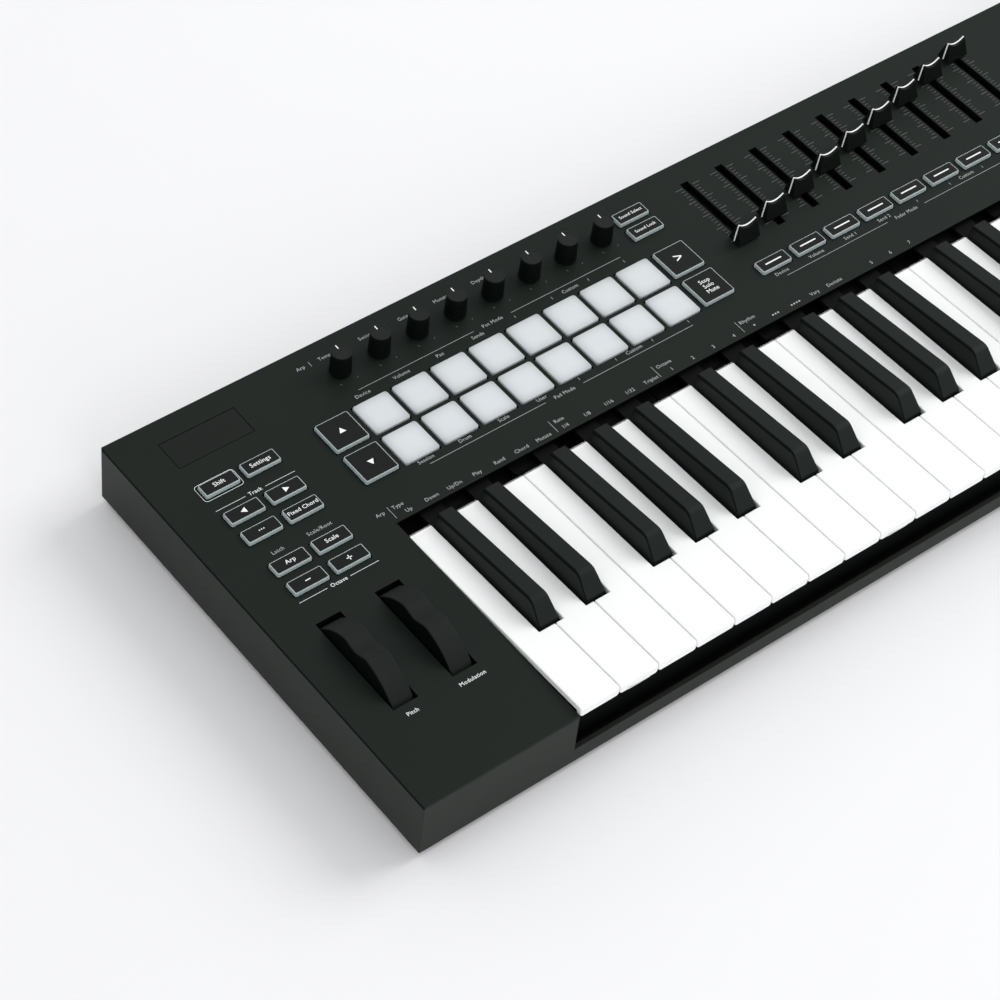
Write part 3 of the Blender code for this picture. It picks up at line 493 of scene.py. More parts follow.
@dataclass(frozen=True)
class PadFinish(Finish):
    """Milky silicone with painted shade that darkens it towards the edge of every pad.

    Attributes:
        shade: The painted shade's colour at the edge.
        first: X and Y of one pad's middle.
        pitch: The pads' pitch across and along Y.
        reach_out: Half a pad's width.
        steepness: How late towards the edge the shade starts, as a power.
        weight: How much of the painted shade shows in the middle of an edge.
    """

    shade: Colour = (0.40, 0.43, 0.44)
    first: tuple[float, float] = (-268.5 * MM, 71.4 * MM)
    pitch: tuple[float, float] = (24.1 * MM, 23.9 * MM)
    reach_out: float = 10.6 * MM
    steepness: float = 4.0
    weight: float = 0.75

    def pattern(self, wiring: Wiring, place: bpy.types.NodeSocket) -> bpy.types.NodeSocket:
        """Gives the milky middle and the painted shade at the edge.

        Args:
            wiring: The material's wiring.
            place: The coordinates to read.

        Returns:
            The colour's output.
        """
        parts = wiring.node("ShaderNodeSeparateXYZ")
        wiring.join(place, parts.inputs[0])
        edge = None
        for axis, start, pitch in zip("XY", self.first, self.pitch):
            along = wiring.sums("SUBTRACT", parts.outputs[axis], start)
            from_middle = wiring.sums("PINGPONG", along, pitch / 2)
            share = wiring.sums("POWER", wiring.sums("DIVIDE", from_middle, self.reach_out), self.steepness)
            edge = share if edge is None else wiring.sums("ADD", edge, share)
        mix = wiring.node("ShaderNodeMix", data_type="RGBA")
        mix.inputs["A"].default_value = (*self.colour, 1.0)
        mix.inputs["B"].default_value = (*self.shade, 1.0)
        shade = wiring.sums("MINIMUM", wiring.sums("MULTIPLY", edge, self.weight), 1.0)
        wiring.join(shade, mix.inputs["Factor"])
        return mix.outputs["Result"]


def shared_group(name: str, build: Callable[[], bpy.types.NodeTree]) -> bpy.types.NodeTree:
    """Returns a node group by name, which is built at its first use."""
    return bpy.data.node_groups.get(name) or build()


CASE = Finish("case_moulded_black", (0.0052, 0.0095, 0.0068), 0.52, specular=0.15, mottle=0.12, dust=0.002)
# Painted light: the lower half is the same plastic as the deck, given a lighter colour and more sheen for the
# light that its walls catch.
LOWER_CASE_PAINTED_LIGHT = Finish("case_lower_black_painted_light", (0.0088, 0.0118, 0.0084), 0.54, specular=0.23, mottle=0.12)
# Painted shade: a near-black colour for the case's inner faces and for the seam at its ends, where shade
# falls.
INSIDE_PAINTED_SHADE = Finish("case_inside_black", (0.0018, 0.0022, 0.0019), 0.70, specular=0.06)
WHITE_KEY = Finish("white_key_gloss", (0.93, 0.935, 0.93), 0.24, fineness=900.0, depth=0.0015 * MM,
                   mottle=0.012, coat=0.3, subsurface=0.25)
BLACK_KEY = Finish("black_key_satin", (0.0078, 0.0114, 0.0092), 0.52, specular=0.135, fineness=3000.0,
                   depth=0.006 * MM)
# Painted shade: a darker colour on the black keys' rounded side edges, for the dark reflection that they
# catch.
BLACK_KEY_PAINTED_DARK_EDGE = Finish("black_key_polished_edge", (0.0016, 0.0026, 0.0020), 0.30, specular=0.07)
LIT_RUBBER = Finish("button_translucent_rubber", (0.42, 0.485, 0.49), 0.42, depth=0.004 * MM, mottle=0.10,
                    subsurface=0.6, reach=1.5 * MM)
# Black paint of the button caps; also painted shade on the rubber under the deck, in the gaps round the
# buttons.
BUTTON_CAP_AND_UNDER_DECK_SHADE = Finish("button_cap_black_and_under_deck_shade", (0.0046, 0.0066, 0.0054), 0.44, specular=0.16, depth=0.006 * MM)
# The pads' colour darkens towards each pad's edge as painted shade.
PAD = PadFinish("pad_milky_silicone", (0.66, 0.695, 0.71), 0.48, fineness=2200.0, depth=0.006 * MM,
                mottle=0.05, subsurface=0.5, reach=2.0 * MM)
KNOB = Finish("knob_soft_black", (0.0024, 0.0044, 0.0032), 0.55, specular=0.10, fineness=3200.0)
KNOB_TOP = Finish("knob_top_black", (0.0085, 0.0100, 0.0095), 0.60, specular=0.18, fineness=3600.0)
CAP = Finish("fader_cap_black", (0.0032, 0.0040, 0.0036), 0.48, specular=0.12, fineness=3000.0,
             depth=0.006 * MM)
WHEEL = Finish("wheel_matte_rubber", (0.0072, 0.0096, 0.0082), 0.62, specular=0.16, fineness=2000.0,
               depth=0.012 * MM, mottle=0.9)
# Painted shade: a darker colour for the wheels' flat sides, which stand in the slot's shade.
WHEEL_SIDE_PAINTED_SHADE = Finish("wheel_side_black", (0.0022, 0.0036, 0.0028), 0.60, specular=0.05, depth=0.006 * MM)
PRINT = Finish("legend_white_ink", (0.90, 0.92, 0.92), 0.55, fineness=4000.0, depth=0.002 * MM,
               mottle=0.10)
DIM_PRINT = Finish("scale_grey_ink", (0.12, 0.135, 0.13), 0.55, fineness=4000.0, depth=0.002 * MM,
                   mottle=0.15)
SOFT_PRINT = Finish("deck_pale_ink", (0.42, 0.44, 0.44), 0.55, fineness=4000.0, depth=0.002 * MM,
                    mottle=0.15)
WINDOW = Finish("display_smoked_acrylic", (0.0062, 0.0088, 0.0064), 0.48, specular=0.15, depth=0.0005 * MM)
# Painted shade: a colour darker than the case's black for the key frame, for the shade of the recess under
# the keys.
FRAME_PAINTED_SHADE = Finish("key_frame_black", (0.0022, 0.0034, 0.0028), 0.65, specular=0.06, fineness=1400.0,
               depth=0.02 * MM)
# Painted shade: a near-black colour for the combs' rails, the white combs' too, for the shade of the recess
# behind the keys.
RAIL_PAINTED_SHADE = Finish("key_rail_black", (0.0035, 0.0040, 0.0036), 0.65, specular=0.08, fineness=1200.0)
BRACKET = Finish("bracket_black", (0.02, 0.02, 0.021), 0.5)
BOARD = BoardFinish("board_black_mask", (0.0045, 0.0050, 0.0050), 0.40, specular=0.2, depth=0.004 * MM)
CONTACT = Finish("contact_dark_rubber", (0.014, 0.014, 0.015), 0.6, fineness=1500.0)
FELT = FeltFinish("stop_felt_black", (0.012, 0.012, 0.013), 0.95, specular=0.1, depth=0.25 * MM, mottle=0.35)
SCREW = BrushedSteel("screw_black_zinc", (0.17, 0.17, 0.18), 0.36, depth=0.004 * MM)
SHAFT = BrushedSteel("shaft_bright_steel", (0.60, 0.60, 0.61), 0.30, depth=0.004 * MM)
CONTACT_METAL = BrushedSteel("socket_tinned_metal", (0.66, 0.64, 0.60), 0.28, depth=0.003 * MM)
SOCKET = Finish("socket_black_plastic", (0.018, 0.018, 0.019), 0.42)
FOOT = Finish("foot_grey_rubber", (0.045, 0.045, 0.047), 0.75, fineness=1300.0, depth=0.03 * MM, mottle=0.2)
FLOOR = Finish("studio_floor_white", (0.86, 0.86, 0.87), 0.70, fineness=60.0, depth=0.0, mottle=0.01)


# The bench: pieces are added, picked over and shaped here.


def clear_selection() -> None:
    """Leaves edit mode and deselects every object."""
    if bpy.context.mode != "OBJECT":
        bpy.ops.object.mode_set(mode="OBJECT")
    bpy.ops.object.select_all(action="DESELECT")


class Workpiece:
    """One mesh on the bench, whose faces, edges and points are picked by place or normal."""

    def __init__(self, piece: bpy.types.Object) -> None:
        """Keeps the piece.

        Args:
            piece: The mesh object to work on.
        """
        self.piece = piece

    @classmethod
    def taken_up(cls, name: str) -> Workpiece:
        """Names the primitive that was just added and puts its place into its mesh.

        Args:
            name: The piece's name.

        Returns:
            The workpiece.
        """
        bpy.ops.object.transform_apply(location=True, rotation=True, scale=True)
        piece = bpy.context.active_object
        piece.name = name
        piece.data.name = name
        return cls(piece)

    @classmethod
    def block(cls, name: str, low: Sequence[float], high: Sequence[float]) -> Workpiece:
        """Adds a block between two corners.

        Args:
            name: The piece's name.
            low: Its lowest corner.
            high: Its highest corner.

        Returns:
            The workpiece.
        """
        low, high = Vector(low), Vector(high)
        clear_selection()
        bpy.ops.mesh.primitive_cube_add(size=1.0, location=(low + high) / 2, scale=high - low)
        return cls.taken_up(name)

    @classmethod
    def rod(cls, name: str, centre: Sequence[float], radius: float, length: float, sides: int = 32,
            axis: Axis = Axis.Z, tip: float | None = None) -> Workpiece:
        """Adds a rod, or a cone where its tip differs.

        Args:
            name: The piece's name.
            centre: The middle of its length.
            radius: Its radius at the low end.
            length: Its length.
            sides: How many sides it has.
            axis: Which way it runs.
            tip: Its radius at the high end.

        Returns:
            The workpiece.
        """
        clear_selection()
        bpy.ops.mesh.primitive_cone_add(vertices=sides, radius1=radius,
                                        radius2=radius if tip is None else tip, depth=length,
                                        location=centre, rotation=axis.value)
        return cls.taken_up(name)

    @classmethod
    def from_node(cls, name: str, node: str) -> Workpiece:
        """Copies a CAD node and merges the copy's loose triangles into flat faces.

        Args:
            name: The piece's name.
            node: The CAD node.

        Returns:
            The workpiece.
        """
        mesh = frame["nodes"][node].data.copy()
        mesh.materials.clear()
        mesh.name = name
        piece = bpy.data.objects.new(name, mesh)
        bpy.context.scene.collection.objects.link(piece)
        work = cls(piece)
        work.points(lambda place: True)
        bpy.ops.mesh.customdata_custom_splitnormals_clear()
        bpy.ops.mesh.remove_doubles(threshold=NEAR / 4)
        bpy.ops.mesh.dissolve_limited(angle_limit=math.radians(0.4))
        return work

    @classmethod
    def joined(cls, name: str, works: Sequence[Workpiece]) -> Workpiece:
        """Joins several pieces into the first.

        Args:
            name: The joined piece's name.
            works: The pieces.

        Returns:
            The first workpiece, which now holds them all.
        """
        clear_selection()
        for work in works:
            work.piece.select_set(True)
        bpy.context.view_layer.objects.active = works[0].piece
        if len(works) > 1:
            bpy.ops.object.join()
        works[0].piece.name = name
        works[0].piece.data.name = name
        return works[0]

    def scrap(self) -> None:
        """Takes the piece off the bench."""
        bpy.data.objects.remove(self.piece)

    def twin(self, name: str, offset: Sequence[float]) -> Workpiece:
        """Copies the piece with its own mesh.

        Args:
            name: The copy's name.
            offset: How far the copy is moved.

        Returns:
            The copy.
        """
        clear_selection()
        mesh = self.piece.data.copy()
        mesh.name = name
        mesh.transform(Matrix.Translation(offset))
        piece = bpy.data.objects.new(name, mesh)
        bpy.context.scene.collection.objects.link(piece)
        return Workpiece(piece)

    def opened(self, kind: str) -> bmesh.types.BMesh:
        """Goes into edit mode with nothing picked.

        Args:
            kind: VERT, EDGE or FACE, which is what will be picked.

        Returns:
            The mesh being edited.
        """
        if bpy.context.mode != "EDIT_MESH" or bpy.context.active_object is not self.piece:
            clear_selection()
            bpy.context.view_layer.objects.active = self.piece
            self.piece.select_set(True)
            bpy.ops.object.mode_set(mode="EDIT")
        bpy.ops.mesh.select_mode(type=kind)
        bpy.ops.mesh.select_all(action="DESELECT")
        return bmesh.from_edit_mesh(self.piece.data)

    def picked(self, mesh: bmesh.types.BMesh) -> Workpiece:
        """Settles a selection that was made in code and returns the workpiece."""
        mesh.select_flush_mode()
        bmesh.update_edit_mesh(self.piece.data)
        return self

    def points(self, test: PlaceTest) -> Workpiece:
        """Picks the points whose place passes a test."""
        mesh = self.opened("VERT")
        for point in mesh.verts:
            point.select_set(test(point.co))
        return self.picked(mesh)

    def faces(self, test: FaceTest) -> Workpiece:
        """Picks the faces whose middle and normal pass a test."""
        mesh = self.opened("FACE")
        mesh.normal_update()
        for face in mesh.faces:
            face.select_set(test(face.calc_center_median(), face.normal))
        return self.picked(mesh)

    def edges(self, test: PlaceTest, sharper: float = 35.0) -> Workpiece:
        """Picks the sharp edges whose middle passes a test.

        Args:
            test: Passes the middles to pick.
            sharper: The least angle between an edge's faces, in degrees.

        Returns:
            The workpiece.
        """
        mesh = self.opened("EDGE")
        mesh.normal_update()
        least = math.radians(sharper)
        for edge in mesh.edges:
            middle = (edge.verts[0].co + edge.verts[1].co) / 2
            edge.select_set(edge.is_manifold and edge.calc_face_angle() > least and test(middle))
        return self.picked(mesh)

    def uprights(self) -> Workpiece:
        """Picks the edges that run straight up."""
        mesh = self.opened("EDGE")
        for edge in mesh.edges:
            run = edge.verts[1].co - edge.verts[0].co
            edge.select_set(math.hypot(run.x, run.y) < NEAR and abs(run.z) > NEAR)
        return self.picked(mesh)

    def bevel(self, width: float, steps: int = 2, clamp: bool = True) -> Workpiece:
        """Rounds the picked edges.

        Args:
            width: The rounding's width.
            steps: How many steps it is made in.
            clamp: Whether it stops before it meets another edge.

        Returns:
            The workpiece.
        """
        bpy.ops.mesh.bevel(offset=width, segments=steps, affect="EDGES", clamp_overlap=clamp)
        return self

    def extrude(self, offset: Sequence[float]) -> Workpiece:
        """Extrudes the picked faces by an offset."""
        bpy.ops.mesh.extrude_region_move(TRANSFORM_OT_translate={"value": offset})
        return self

    def inset(self, margin: float, depth: float = 0.0, each: bool = False) -> Workpiece:
        """Insets the picked faces.

        Args:
            margin: How far in from their outline.
            depth: How far out of their plane, or in where it is negative.
            each: Whether each face is inset by itself.

        Returns:
            The workpiece.
        """
        bpy.ops.mesh.inset(thickness=margin, depth=depth, use_individual=each)
        return self

    def move(self, offset: Sequence[float]) -> Workpiece:
        """Moves what is picked by an offset."""
        bpy.ops.transform.translate(value=offset)
        return self

    def resize(self, factors: Sequence[float], about: Sequence[float]) -> Workpiece:
        """Scales what is picked about a place."""
        bpy.ops.transform.resize(value=factors, center_override=about)
        return self

    def turn(self, angle: float, about: Sequence[float]) -> Workpiece:
        """Turns what is picked about a place, round Z."""
        bpy.ops.transform.rotate(value=angle, orient_axis="Z", center_override=about)
        return self

    def cut(self, place: Sequence[float], normal: Sequence[float], keep: bool = True) -> Workpiece:
        """Cuts the piece with a plane.

        Args:
            place: A point on the plane.
            normal: The plane's normal.
            keep: Whether what lies in front of the normal stays.

        Returns:
            The workpiece.
        """
        self.opened("FACE")
        bpy.ops.mesh.select_all(action="SELECT")
        bpy.ops.mesh.bisect(plane_co=place, plane_no=normal, use_fill=not keep, clear_outer=not keep,
                            threshold=NEAR / 10)
        return self

    def carve(self, tool: Workpiece, operation: str = "DIFFERENCE") -> Workpiece:
        """Cuts another piece out of this one, or adds it.

        Args:
            tool: The other piece, which is used up.
            operation: DIFFERENCE or UNION.

        Returns:
            The workpiece.
        """
        clear_selection()
        bpy.context.view_layer.objects.active = self.piece
        self.piece.select_set(True)
        cutter = self.piece.modifiers.new("carve", "BOOLEAN")
        cutter.operation = operation
        cutter.solver = "EXACT"
        cutter.object = tool.piece
        bpy.ops.object.modifier_apply(modifier=cutter.name)
        tool.scrap()
        return self

    def second_finish(self, finish: Finish, test: FaceTest) -> Workpiece:
        """Gives the faces that pass a test another finish.

        Args:
            finish: The other finish.
            test: Passes the middles and normals of its faces.

        Returns:
            The workpiece.
        """
        clear_selection()
        materials = self.piece.data.materials
        if not materials:
            materials.append(None)
        materials.append(finish.material())
        for face in self.piece.data.polygons:
            if test(face.center, face.normal):
                face.material_index = len(materials) - 1
        return self

    def fit(self, body: str, finish: Finish, slot: str, nodes: Sequence[str] = (),
            angle: float = 32.0) -> bpy.types.Object:
        """Dresses the finished piece and sets it on its body.

        Args:
            body: The CAD body that it rides on.
            finish: Its finish.
            slot: The record's material slot; not used.
            nodes: The CAD nodes that it stands for.
            angle: Edges sharper than this stay sharp, in degrees.

        Returns:
            The finished object.
        """
        clear_selection()
        self.piece.select_set(True)
        bpy.context.view_layer.objects.active = self.piece
        bpy.ops.object.shade_smooth_by_angle(angle=math.radians(angle))
        evener = self.piece.modifiers.new("even_normals", "WEIGHTED_NORMAL")
        evener.keep_sharp = True
        evener.weight = 70
        bpy.ops.object.modifier_apply(modifier=evener.name)
        if self.piece.data.materials:
            self.piece.data.materials[0] = finish.material()
        else:
            self.piece.data.materials.append(finish.material())
        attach(self.piece, body)
        if nodes:
            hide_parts(*nodes)
        log.info("%s on %s, %d faces", self.piece.name, body, len(self.piece.data.polygons))
        return self.piece


def corner_nodes(kind: str) -> list[str]:
    """Lists the CAD nodes of a part that stands at each of the four corners."""
    return ["%s_%s_%s" % (kind, end, side) for end in ("front", "rear") for side in ("left", "right")]


def dress_node(node: str, finish: Finish) -> None:
    """Gives a CAD node its finish.

    Args:
        node: The CAD node, whose mesh is left alone.
        finish: Its finish.
    """
    piece = frame["nodes"][node]
    piece.data.materials.clear()
    piece.data.materials.append(finish.material())
    log.info("%s dressed in %s", node, finish.name)


def raised_tops(node: str) -> list[Span]:
    """Finds the flat tops that stand up from a CAD mat.

    Args:
        node: The mat's CAD node.

    Returns:
        The lowest and highest corner of each top, rear row first and left to right.
    """
    mesh = bmesh.new()
    mesh.from_mesh(frame["nodes"][node].data)
    bmesh.ops.remove_doubles(mesh, verts=mesh.verts, dist=NEAR / 4)
    top = max(point.co.z for point in mesh.verts)
    waiting = {face for face in mesh.faces if face.calc_center_median().z > top - NEAR}
    tops = []
    while waiting:
        group, edge_of = [], [waiting.pop()]
        while edge_of:
            face = edge_of.pop()
            group.append(face)
            for edge in face.edges:
                for other in edge.link_faces:
                    if other in waiting:
                        waiting.remove(other)
                        edge_of.append(other)
        places = [point.co for face in group for point in face.verts]
        tops.append((Vector(min(place[i] for place in places) for i in range(3)),
                     Vector(max(place[i] for place in places) for i in range(3))))
    mesh.free()
    return sorted(tops, key=lambda span: (-round(span[1].y, 4), span[0].x))


class Printer:
    """Sets words, rules, ticks and signs in raised ink on a level surface."""

    def __init__(self, surface: float, weight: float = 0.0) -> None:
        """Starts with nothing printed.

        Args:
            surface: Height of the surface that carries the ink.
            weight: How much bolder the type is, as a share of its size.
        """
        self.surface = surface
        self.weight = weight
        self.marks: list[Workpiece] = []

    def word(self, text: str, x: float, y: float, size: float) -> None:
        """Sets a word that reads along X.

        Args:
            text: The word.
            x: The middle of its length.
            y: The middle of its height.
            size: The type's size.
        """
        clear_selection()
        bpy.ops.object.text_add()
        label = bpy.context.active_object
        label.data.body = text
        label.data.size = size
        label.data.resolution_u = 2
        label.data.extrude = INK / 2
        label.data.offset = self.weight * size
        label.data.align_x = "CENTER"
        label.data.align_y = "CENTER"
        label.data.space_character = LETTER_SPACE
        bpy.ops.object.convert(target="MESH")
        label.location = (x, y, self.surface)
        self.marks.append(Workpiece.taken_up("word"))

    def bar(self, x_low: float, x_high: float, y_low: float, y_high: float) -> None:
        """Prints a filled bar between two corners."""
        self.marks.append(Workpiece.block("bar", (x_low, y_low, self.surface - INK / 2),
                                          (x_high, y_high, self.surface + INK / 2)))

    def rule(self, x_low: float, x_high: float, y: float, width: float = 0.22 * MM) -> None:
        """Prints a thin line along X."""
        self.bar(x_low, x_high, y - width / 2, y + width / 2)

    def upright(self, x: float, y_low: float, y_high: float, width: float = 0.22 * MM) -> None:
        """Prints a thin line along Y."""
        self.bar(x - width / 2, x + width / 2, y_low, y_high)

    def arrow(self, x: float, y: float, size: float, heading: Heading) -> None:
        """Prints a filled three-cornered arrow.

        Args:
            x: Its place across.
            y: Its place along Y.
            size: Its radius.
            heading: Which way it points.
        """
        clear_selection()
        bpy.ops.mesh.primitive_cylinder_add(vertices=3, radius=size, depth=INK,
                                            location=(x, y, self.surface),
                                            rotation=(0.0, 0.0, heading.value))
        self.marks.append(Workpiece.taken_up("arrow"))

    def dot(self, x: float, y: float, radius: float) -> None:
        """Prints a round dot."""
        self.marks.append(Workpiece.rod("dot", (x, y, self.surface), radius, INK, 10))

    def ring(self, low: tuple[float, float], high: tuple[float, float], corner: float,
             width: float = 0.24 * MM) -> None:
        """Prints a thin outline with round corners.

        Args:
            low: Its low corner.
            high: Its high corner.
            corner: Its corners' radius.
            width: The line's width.
        """
        outline = Workpiece.block("ring", (*low, self.surface - INK / 2), (*high, self.surface + INK / 2))
        outline.uprights().bevel(corner, 5)
        middle = Workpiece.block("middle", (low[0] + width, low[1] + width, self.surface - INK),
                                 (high[0] - width, high[1] - width, self.surface + INK))
        middle.uprights().bevel(corner - width, 5)
        self.marks.append(outline.carve(middle))

    def pulled(self, name: str, body: str, slot: str, finish: Finish = PRINT) -> bpy.types.Object:
        """Joins the marks into one finished piece.

        Args:
            name: The piece's name.
            body: The body that it rides on.
            slot: Its material slot.
            finish: The ink.

        Returns:
            The finished object.
        """
        return Workpiece.joined(name, self.marks).fit(body, finish, slot)


PrintOn = Callable[[Printer, list[Span]], None]


# The instrument's sub-assemblies.


@dataclass
class Datum:
    """Where the body's left edge, front edge and deck lie."""

    left: float
    front: float
    deck: float

    def at(self, x: float, y: float) -> tuple[float, float]:
        """Turns millimetres from the left and front edges into a place.

        Args:
            x: Millimetres from the left edge.
            y: Millimetres from the front edge.

        Returns:
            The place, in metres.
        """
        return self.left + x * MM, self.front + y * MM


@dataclass
class CaseShell:
    """The two halves of the moulded case.

    Attributes:
        soft: Rounding of the edges round the openings.
        crown: Rounding of the outer edges.
        wall: How thick the case is.
        seam_depth: How far under the deck the seam's painted shade reaches at the ends.
        sharp: Edges sharper than this are rounded, in degrees.
    """

    soft: float = 0.28 * MM
    crown: float = 0.5 * MM
    wall: float = 2.6 * MM
    seam_depth: float = 2.1 * MM
    sharp: float = 50.0

    def build(self) -> None:
        """Softens the edges of both halves and dresses them."""
        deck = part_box("top_case")[1].z
        # The lower half takes its lighter colour, which is painted light.
        for node, finish in (("top_case", CASE), ("bottom_case", LOWER_CASE_PAINTED_LIGHT)):
            low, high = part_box(node)
            shell = Workpiece.from_node(node + "_shell", node)
            shell.edges(lambda place: self.outside(place, low, high), self.sharp).bevel(self.crown, 3)
            shell.edges(lambda place: not self.outside(place, low, high) and place.z > high.z - 2 * NEAR,
                        self.sharp).bevel(self.soft, 2)
            # Painted shade: inner faces and the seam's faces take the near-black inside colour.
            shell.second_finish(INSIDE_PAINTED_SHADE, lambda place, normal: self.hidden(place, normal, low, high)
                                or self.seam(place, normal, low, high, deck))
            shell.fit("root", finish, "case_plastic", (node,))

    def hidden(self, place: Vector, normal: Vector, low: Vector, high: Vector) -> bool:
        """Says whether a face lies inside the case: clear of its outer walls and not on the deck."""
        clear = all(low[i] + self.wall < place[i] < high[i] - self.wall for i in range(2))
        on_deck = normal.z > 0.9 and place.z > high.z - self.wall
        return clear and low.z + NEAR < place.z < high.z - NEAR and not on_deck

    def seam(self, place: Vector, normal: Vector, low: Vector, high: Vector, deck: float) -> bool:
        """Says whether a face lies in the seam under the deck at the case's ends, which is painted dark as
        shade.
        """
        outer = min(place.x - low.x, high.x - place.x) < self.crown
        return outer and normal.z < 0.8 and deck - self.seam_depth < place.z < deck - NEAR

    @staticmethod
    def outside(place: Vector, low: Vector, high: Vector) -> bool:
        """Says whether an edge lies on two of the shell's outer walls."""
        walls = [abs(place[i] - low[i]) < NEAR or abs(place[i] - high[i]) < NEAR for i in range(3)]
        return sum(walls) > 1


@dataclass
class Keyboard:
    """Forty-nine keys on three combs to the octave, with what lies under them."""

    datum: Datum
    pitch: float = 23.5 * MM
    first: float = 90.0 * MM
    space: float = 0.5 * MM
    rear: float = 131.0 * MM
    notch: float = 48.0 * MM
    rise: float = 4.0 * MM
    fall: float = 5.8 * MM
    slab: float = 3.2 * MM
    lip: float = 6.0 * MM
    lip_wall: float = 2.8 * MM
    lip_round: float = 1.5 * MM
    side_round: float = 0.65 * MM
    lip_notch: float = 1.1 * MM
    notch_half: float = 7.3 * MM
    base_half: float = 6.4 * MM
    top_half: float = 4.8 * MM
    black_front: float = 49.5 * MM
    black_ramp: float = 9.2 * MM
    front_gap: float = 0.3 * MM
    rear_gap: float = 1.0 * MM
    ridge: float = 12.2 * MM
    ridge_round: float = 2.6 * MM
    top_round: float = 1.0 * MM
    foot_round: float = 0.7 * MM
    front_share: float = 0.94
    rear_rise: float = 4.8 * MM
    shoulder: float = 2.2 * MM
    belly: float = 4.5 * MM
    blacks: tuple[tuple[int, float], ...] = ((1, -2.4 * MM), (2, 2.4 * MM), (4, -3.0 * MM),
                                             (5, 0.1 * MM), (6, 3.4 * MM))
    octaves: int = 4
    smooth: float = 38.0

    def white_left(self, index: int) -> float:
        """X of a white key's left edge, with its half of the space."""
        return self.datum.left + self.first + index * self.pitch

    def stem(self, step: int, notched: bool) -> tuple[float, float]:
        """Finds how wide a white key is behind its notches.

        Args:
            step: Its place in the octave, from 0 for C.
            notched: Whether black keys stand beside it.

        Returns:
            The left and right edge of its stem in the first octave.
        """
        left = self.white_left(step) + self.space / 2
        right = self.white_left(step + 1) - self.space / 2
        middle = (left + right) / 2
        for black, shift in self.blacks if notched else ():
            centre = self.white_left(black) + shift
            if left < centre + self.notch_half < middle:
                left = centre + self.notch_half
            if middle < centre - self.notch_half < right:
                right = centre - self.notch_half
        return left, right

    def white_key(self, step: int, notched: bool) -> Workpiece:
        """Models one shape of white key in the first octave.

        Args:
            step: Its place in the octave.
            notched: Whether black keys stand beside it.

        Returns:
            The workpiece.
        """
        datum = self.datum
        left = self.white_left(step) + self.space / 2
        right = self.white_left(step + 1) - self.space / 2
        stem_left, stem_right = self.stem(step, notched)
        front, notch, rear = (datum.front + reach for reach in (self.front_gap, self.notch, self.rear))
        top = datum.deck + self.rise
        key = Workpiece.block("white_key", (left, front, top - self.slab), (right, notch, top))
        for edge in (stem_left, stem_right):
            if left + NEAR < edge < right - NEAR:
                key.cut((edge, 0.0, 0.0), (1.0, 0.0, 0.0))
        key.faces(lambda place, normal: normal.y > 0.9 and stem_left < place.x < stem_right)
        key.extrude((0.0, rear - notch, 0.0))
        slope = self.fall / (rear - front)
        key.points(lambda place: abs(place.y - notch) < NEAR).move((0.0, 0.0, -slope * (notch - front)))
        key.points(lambda place: place.y > rear - NEAR).move((0.0, 0.0, -self.fall))
        key.cut((0.0, front + self.lip_wall, 0.0), (0.0, 1.0, 0.0))
        key.faces(lambda place, normal: normal.z < -0.9 and place.y < front + self.lip_wall)
        key.extrude((0.0, 0.0, self.slab - self.lip))
        middle = (left + right) / 2
        key.edges(lambda place: place.y < front + self.lip_wall and place.z < top - self.lip + NEAR
                  and abs(place.x - middle) > (right - left) / 2 - NEAR, 40.0).bevel(self.lip_notch, 1)
        key.edges(lambda place: place.y < front + NEAR and place.z > top - NEAR,
                  40.0).bevel(self.lip_round, 5)
        key.edges(lambda place: place.y < front + NEAR and abs(place.x - middle) > NEAR
                  or place.z > top - slope * (place.y - front) - self.slab * 0.8 and place.y < rear - NEAR,
                  40.0).bevel(self.side_round, 4)
        return key

    def black_key(self) -> Workpiece:
        """Models the black key about x = 0.

        Returns:
            The workpiece.
        """
        datum = self.datum
        front = datum.front + self.black_front
        crest = front + self.black_ramp
        rear = datum.front + self.rear - self.rear_gap
        high = datum.deck + self.ridge
        key = Workpiece.block("black_key", (-self.base_half, front, datum.deck - self.belly),
                              (self.base_half, rear, high))
        key.cut((0.0, crest, 0.0), (0.0, 1.0, 0.0))
        key.points(lambda place: place.z > high - NEAR and place.y > front + NEAR)
        key.resize((self.top_half / self.base_half, 1.0, 1.0), (0.0, crest, high))
        key.points(lambda place: place.z > high - NEAR and place.y < front + NEAR)
        key.resize((self.front_share, 1.0, 1.0), (0.0, crest, high))
        key.move((0.0, 0.0, self.shoulder - self.ridge))
        key.points(lambda place: place.z > high - NEAR and place.y > rear - NEAR)
        key.move((0.0, 0.0, self.rear_rise - self.ridge))
        key.edges(lambda place: abs(place.y - crest) < NEAR and place.z > high - NEAR,
                  20.0).bevel(self.ridge_round, 6)
        key.edges(lambda place: place.z > datum.deck + 0.5 * MM and front + NEAR < place.y < rear - NEAR,
                  40.0).bevel(self.top_round, 4)
        key.edges(lambda place: place.y < front + 0.2 * MM and place.z > datum.deck - 4 * MM,
                  25.0).bevel(self.foot_round, 3)
        # Painted shade: the rounded side edges take the darker edge colour.
        key.second_finish(BLACK_KEY_PAINTED_DARK_EDGE, lambda place, normal: 0.22 < abs(normal.x) < 0.97)
        return key

    def comb(self, octave: int, name: str) -> None:
        """Keeps the arms and rail of a comb, whose keys are new pieces.

        Args:
            octave: The octave, from 0.
            name: The comb's name without its octave.
        """
        node = "octave_%d_%s" % (octave + 1, name)
        end = self.datum.front + self.rear - 0.8 * MM
        rail = Workpiece.from_node(node + "_rail", node)
        rail.cut((0.0, end, 0.0), (0.0, -1.0, 0.0), keep=False)
        slot = "black_key_plastic" if "black" in name else "white_key_plastic"
        # Painted shade: the rail takes the near-black rail colour, white combs too.
        rail.fit(node, RAIL_PAINTED_SHADE, slot, (node,))

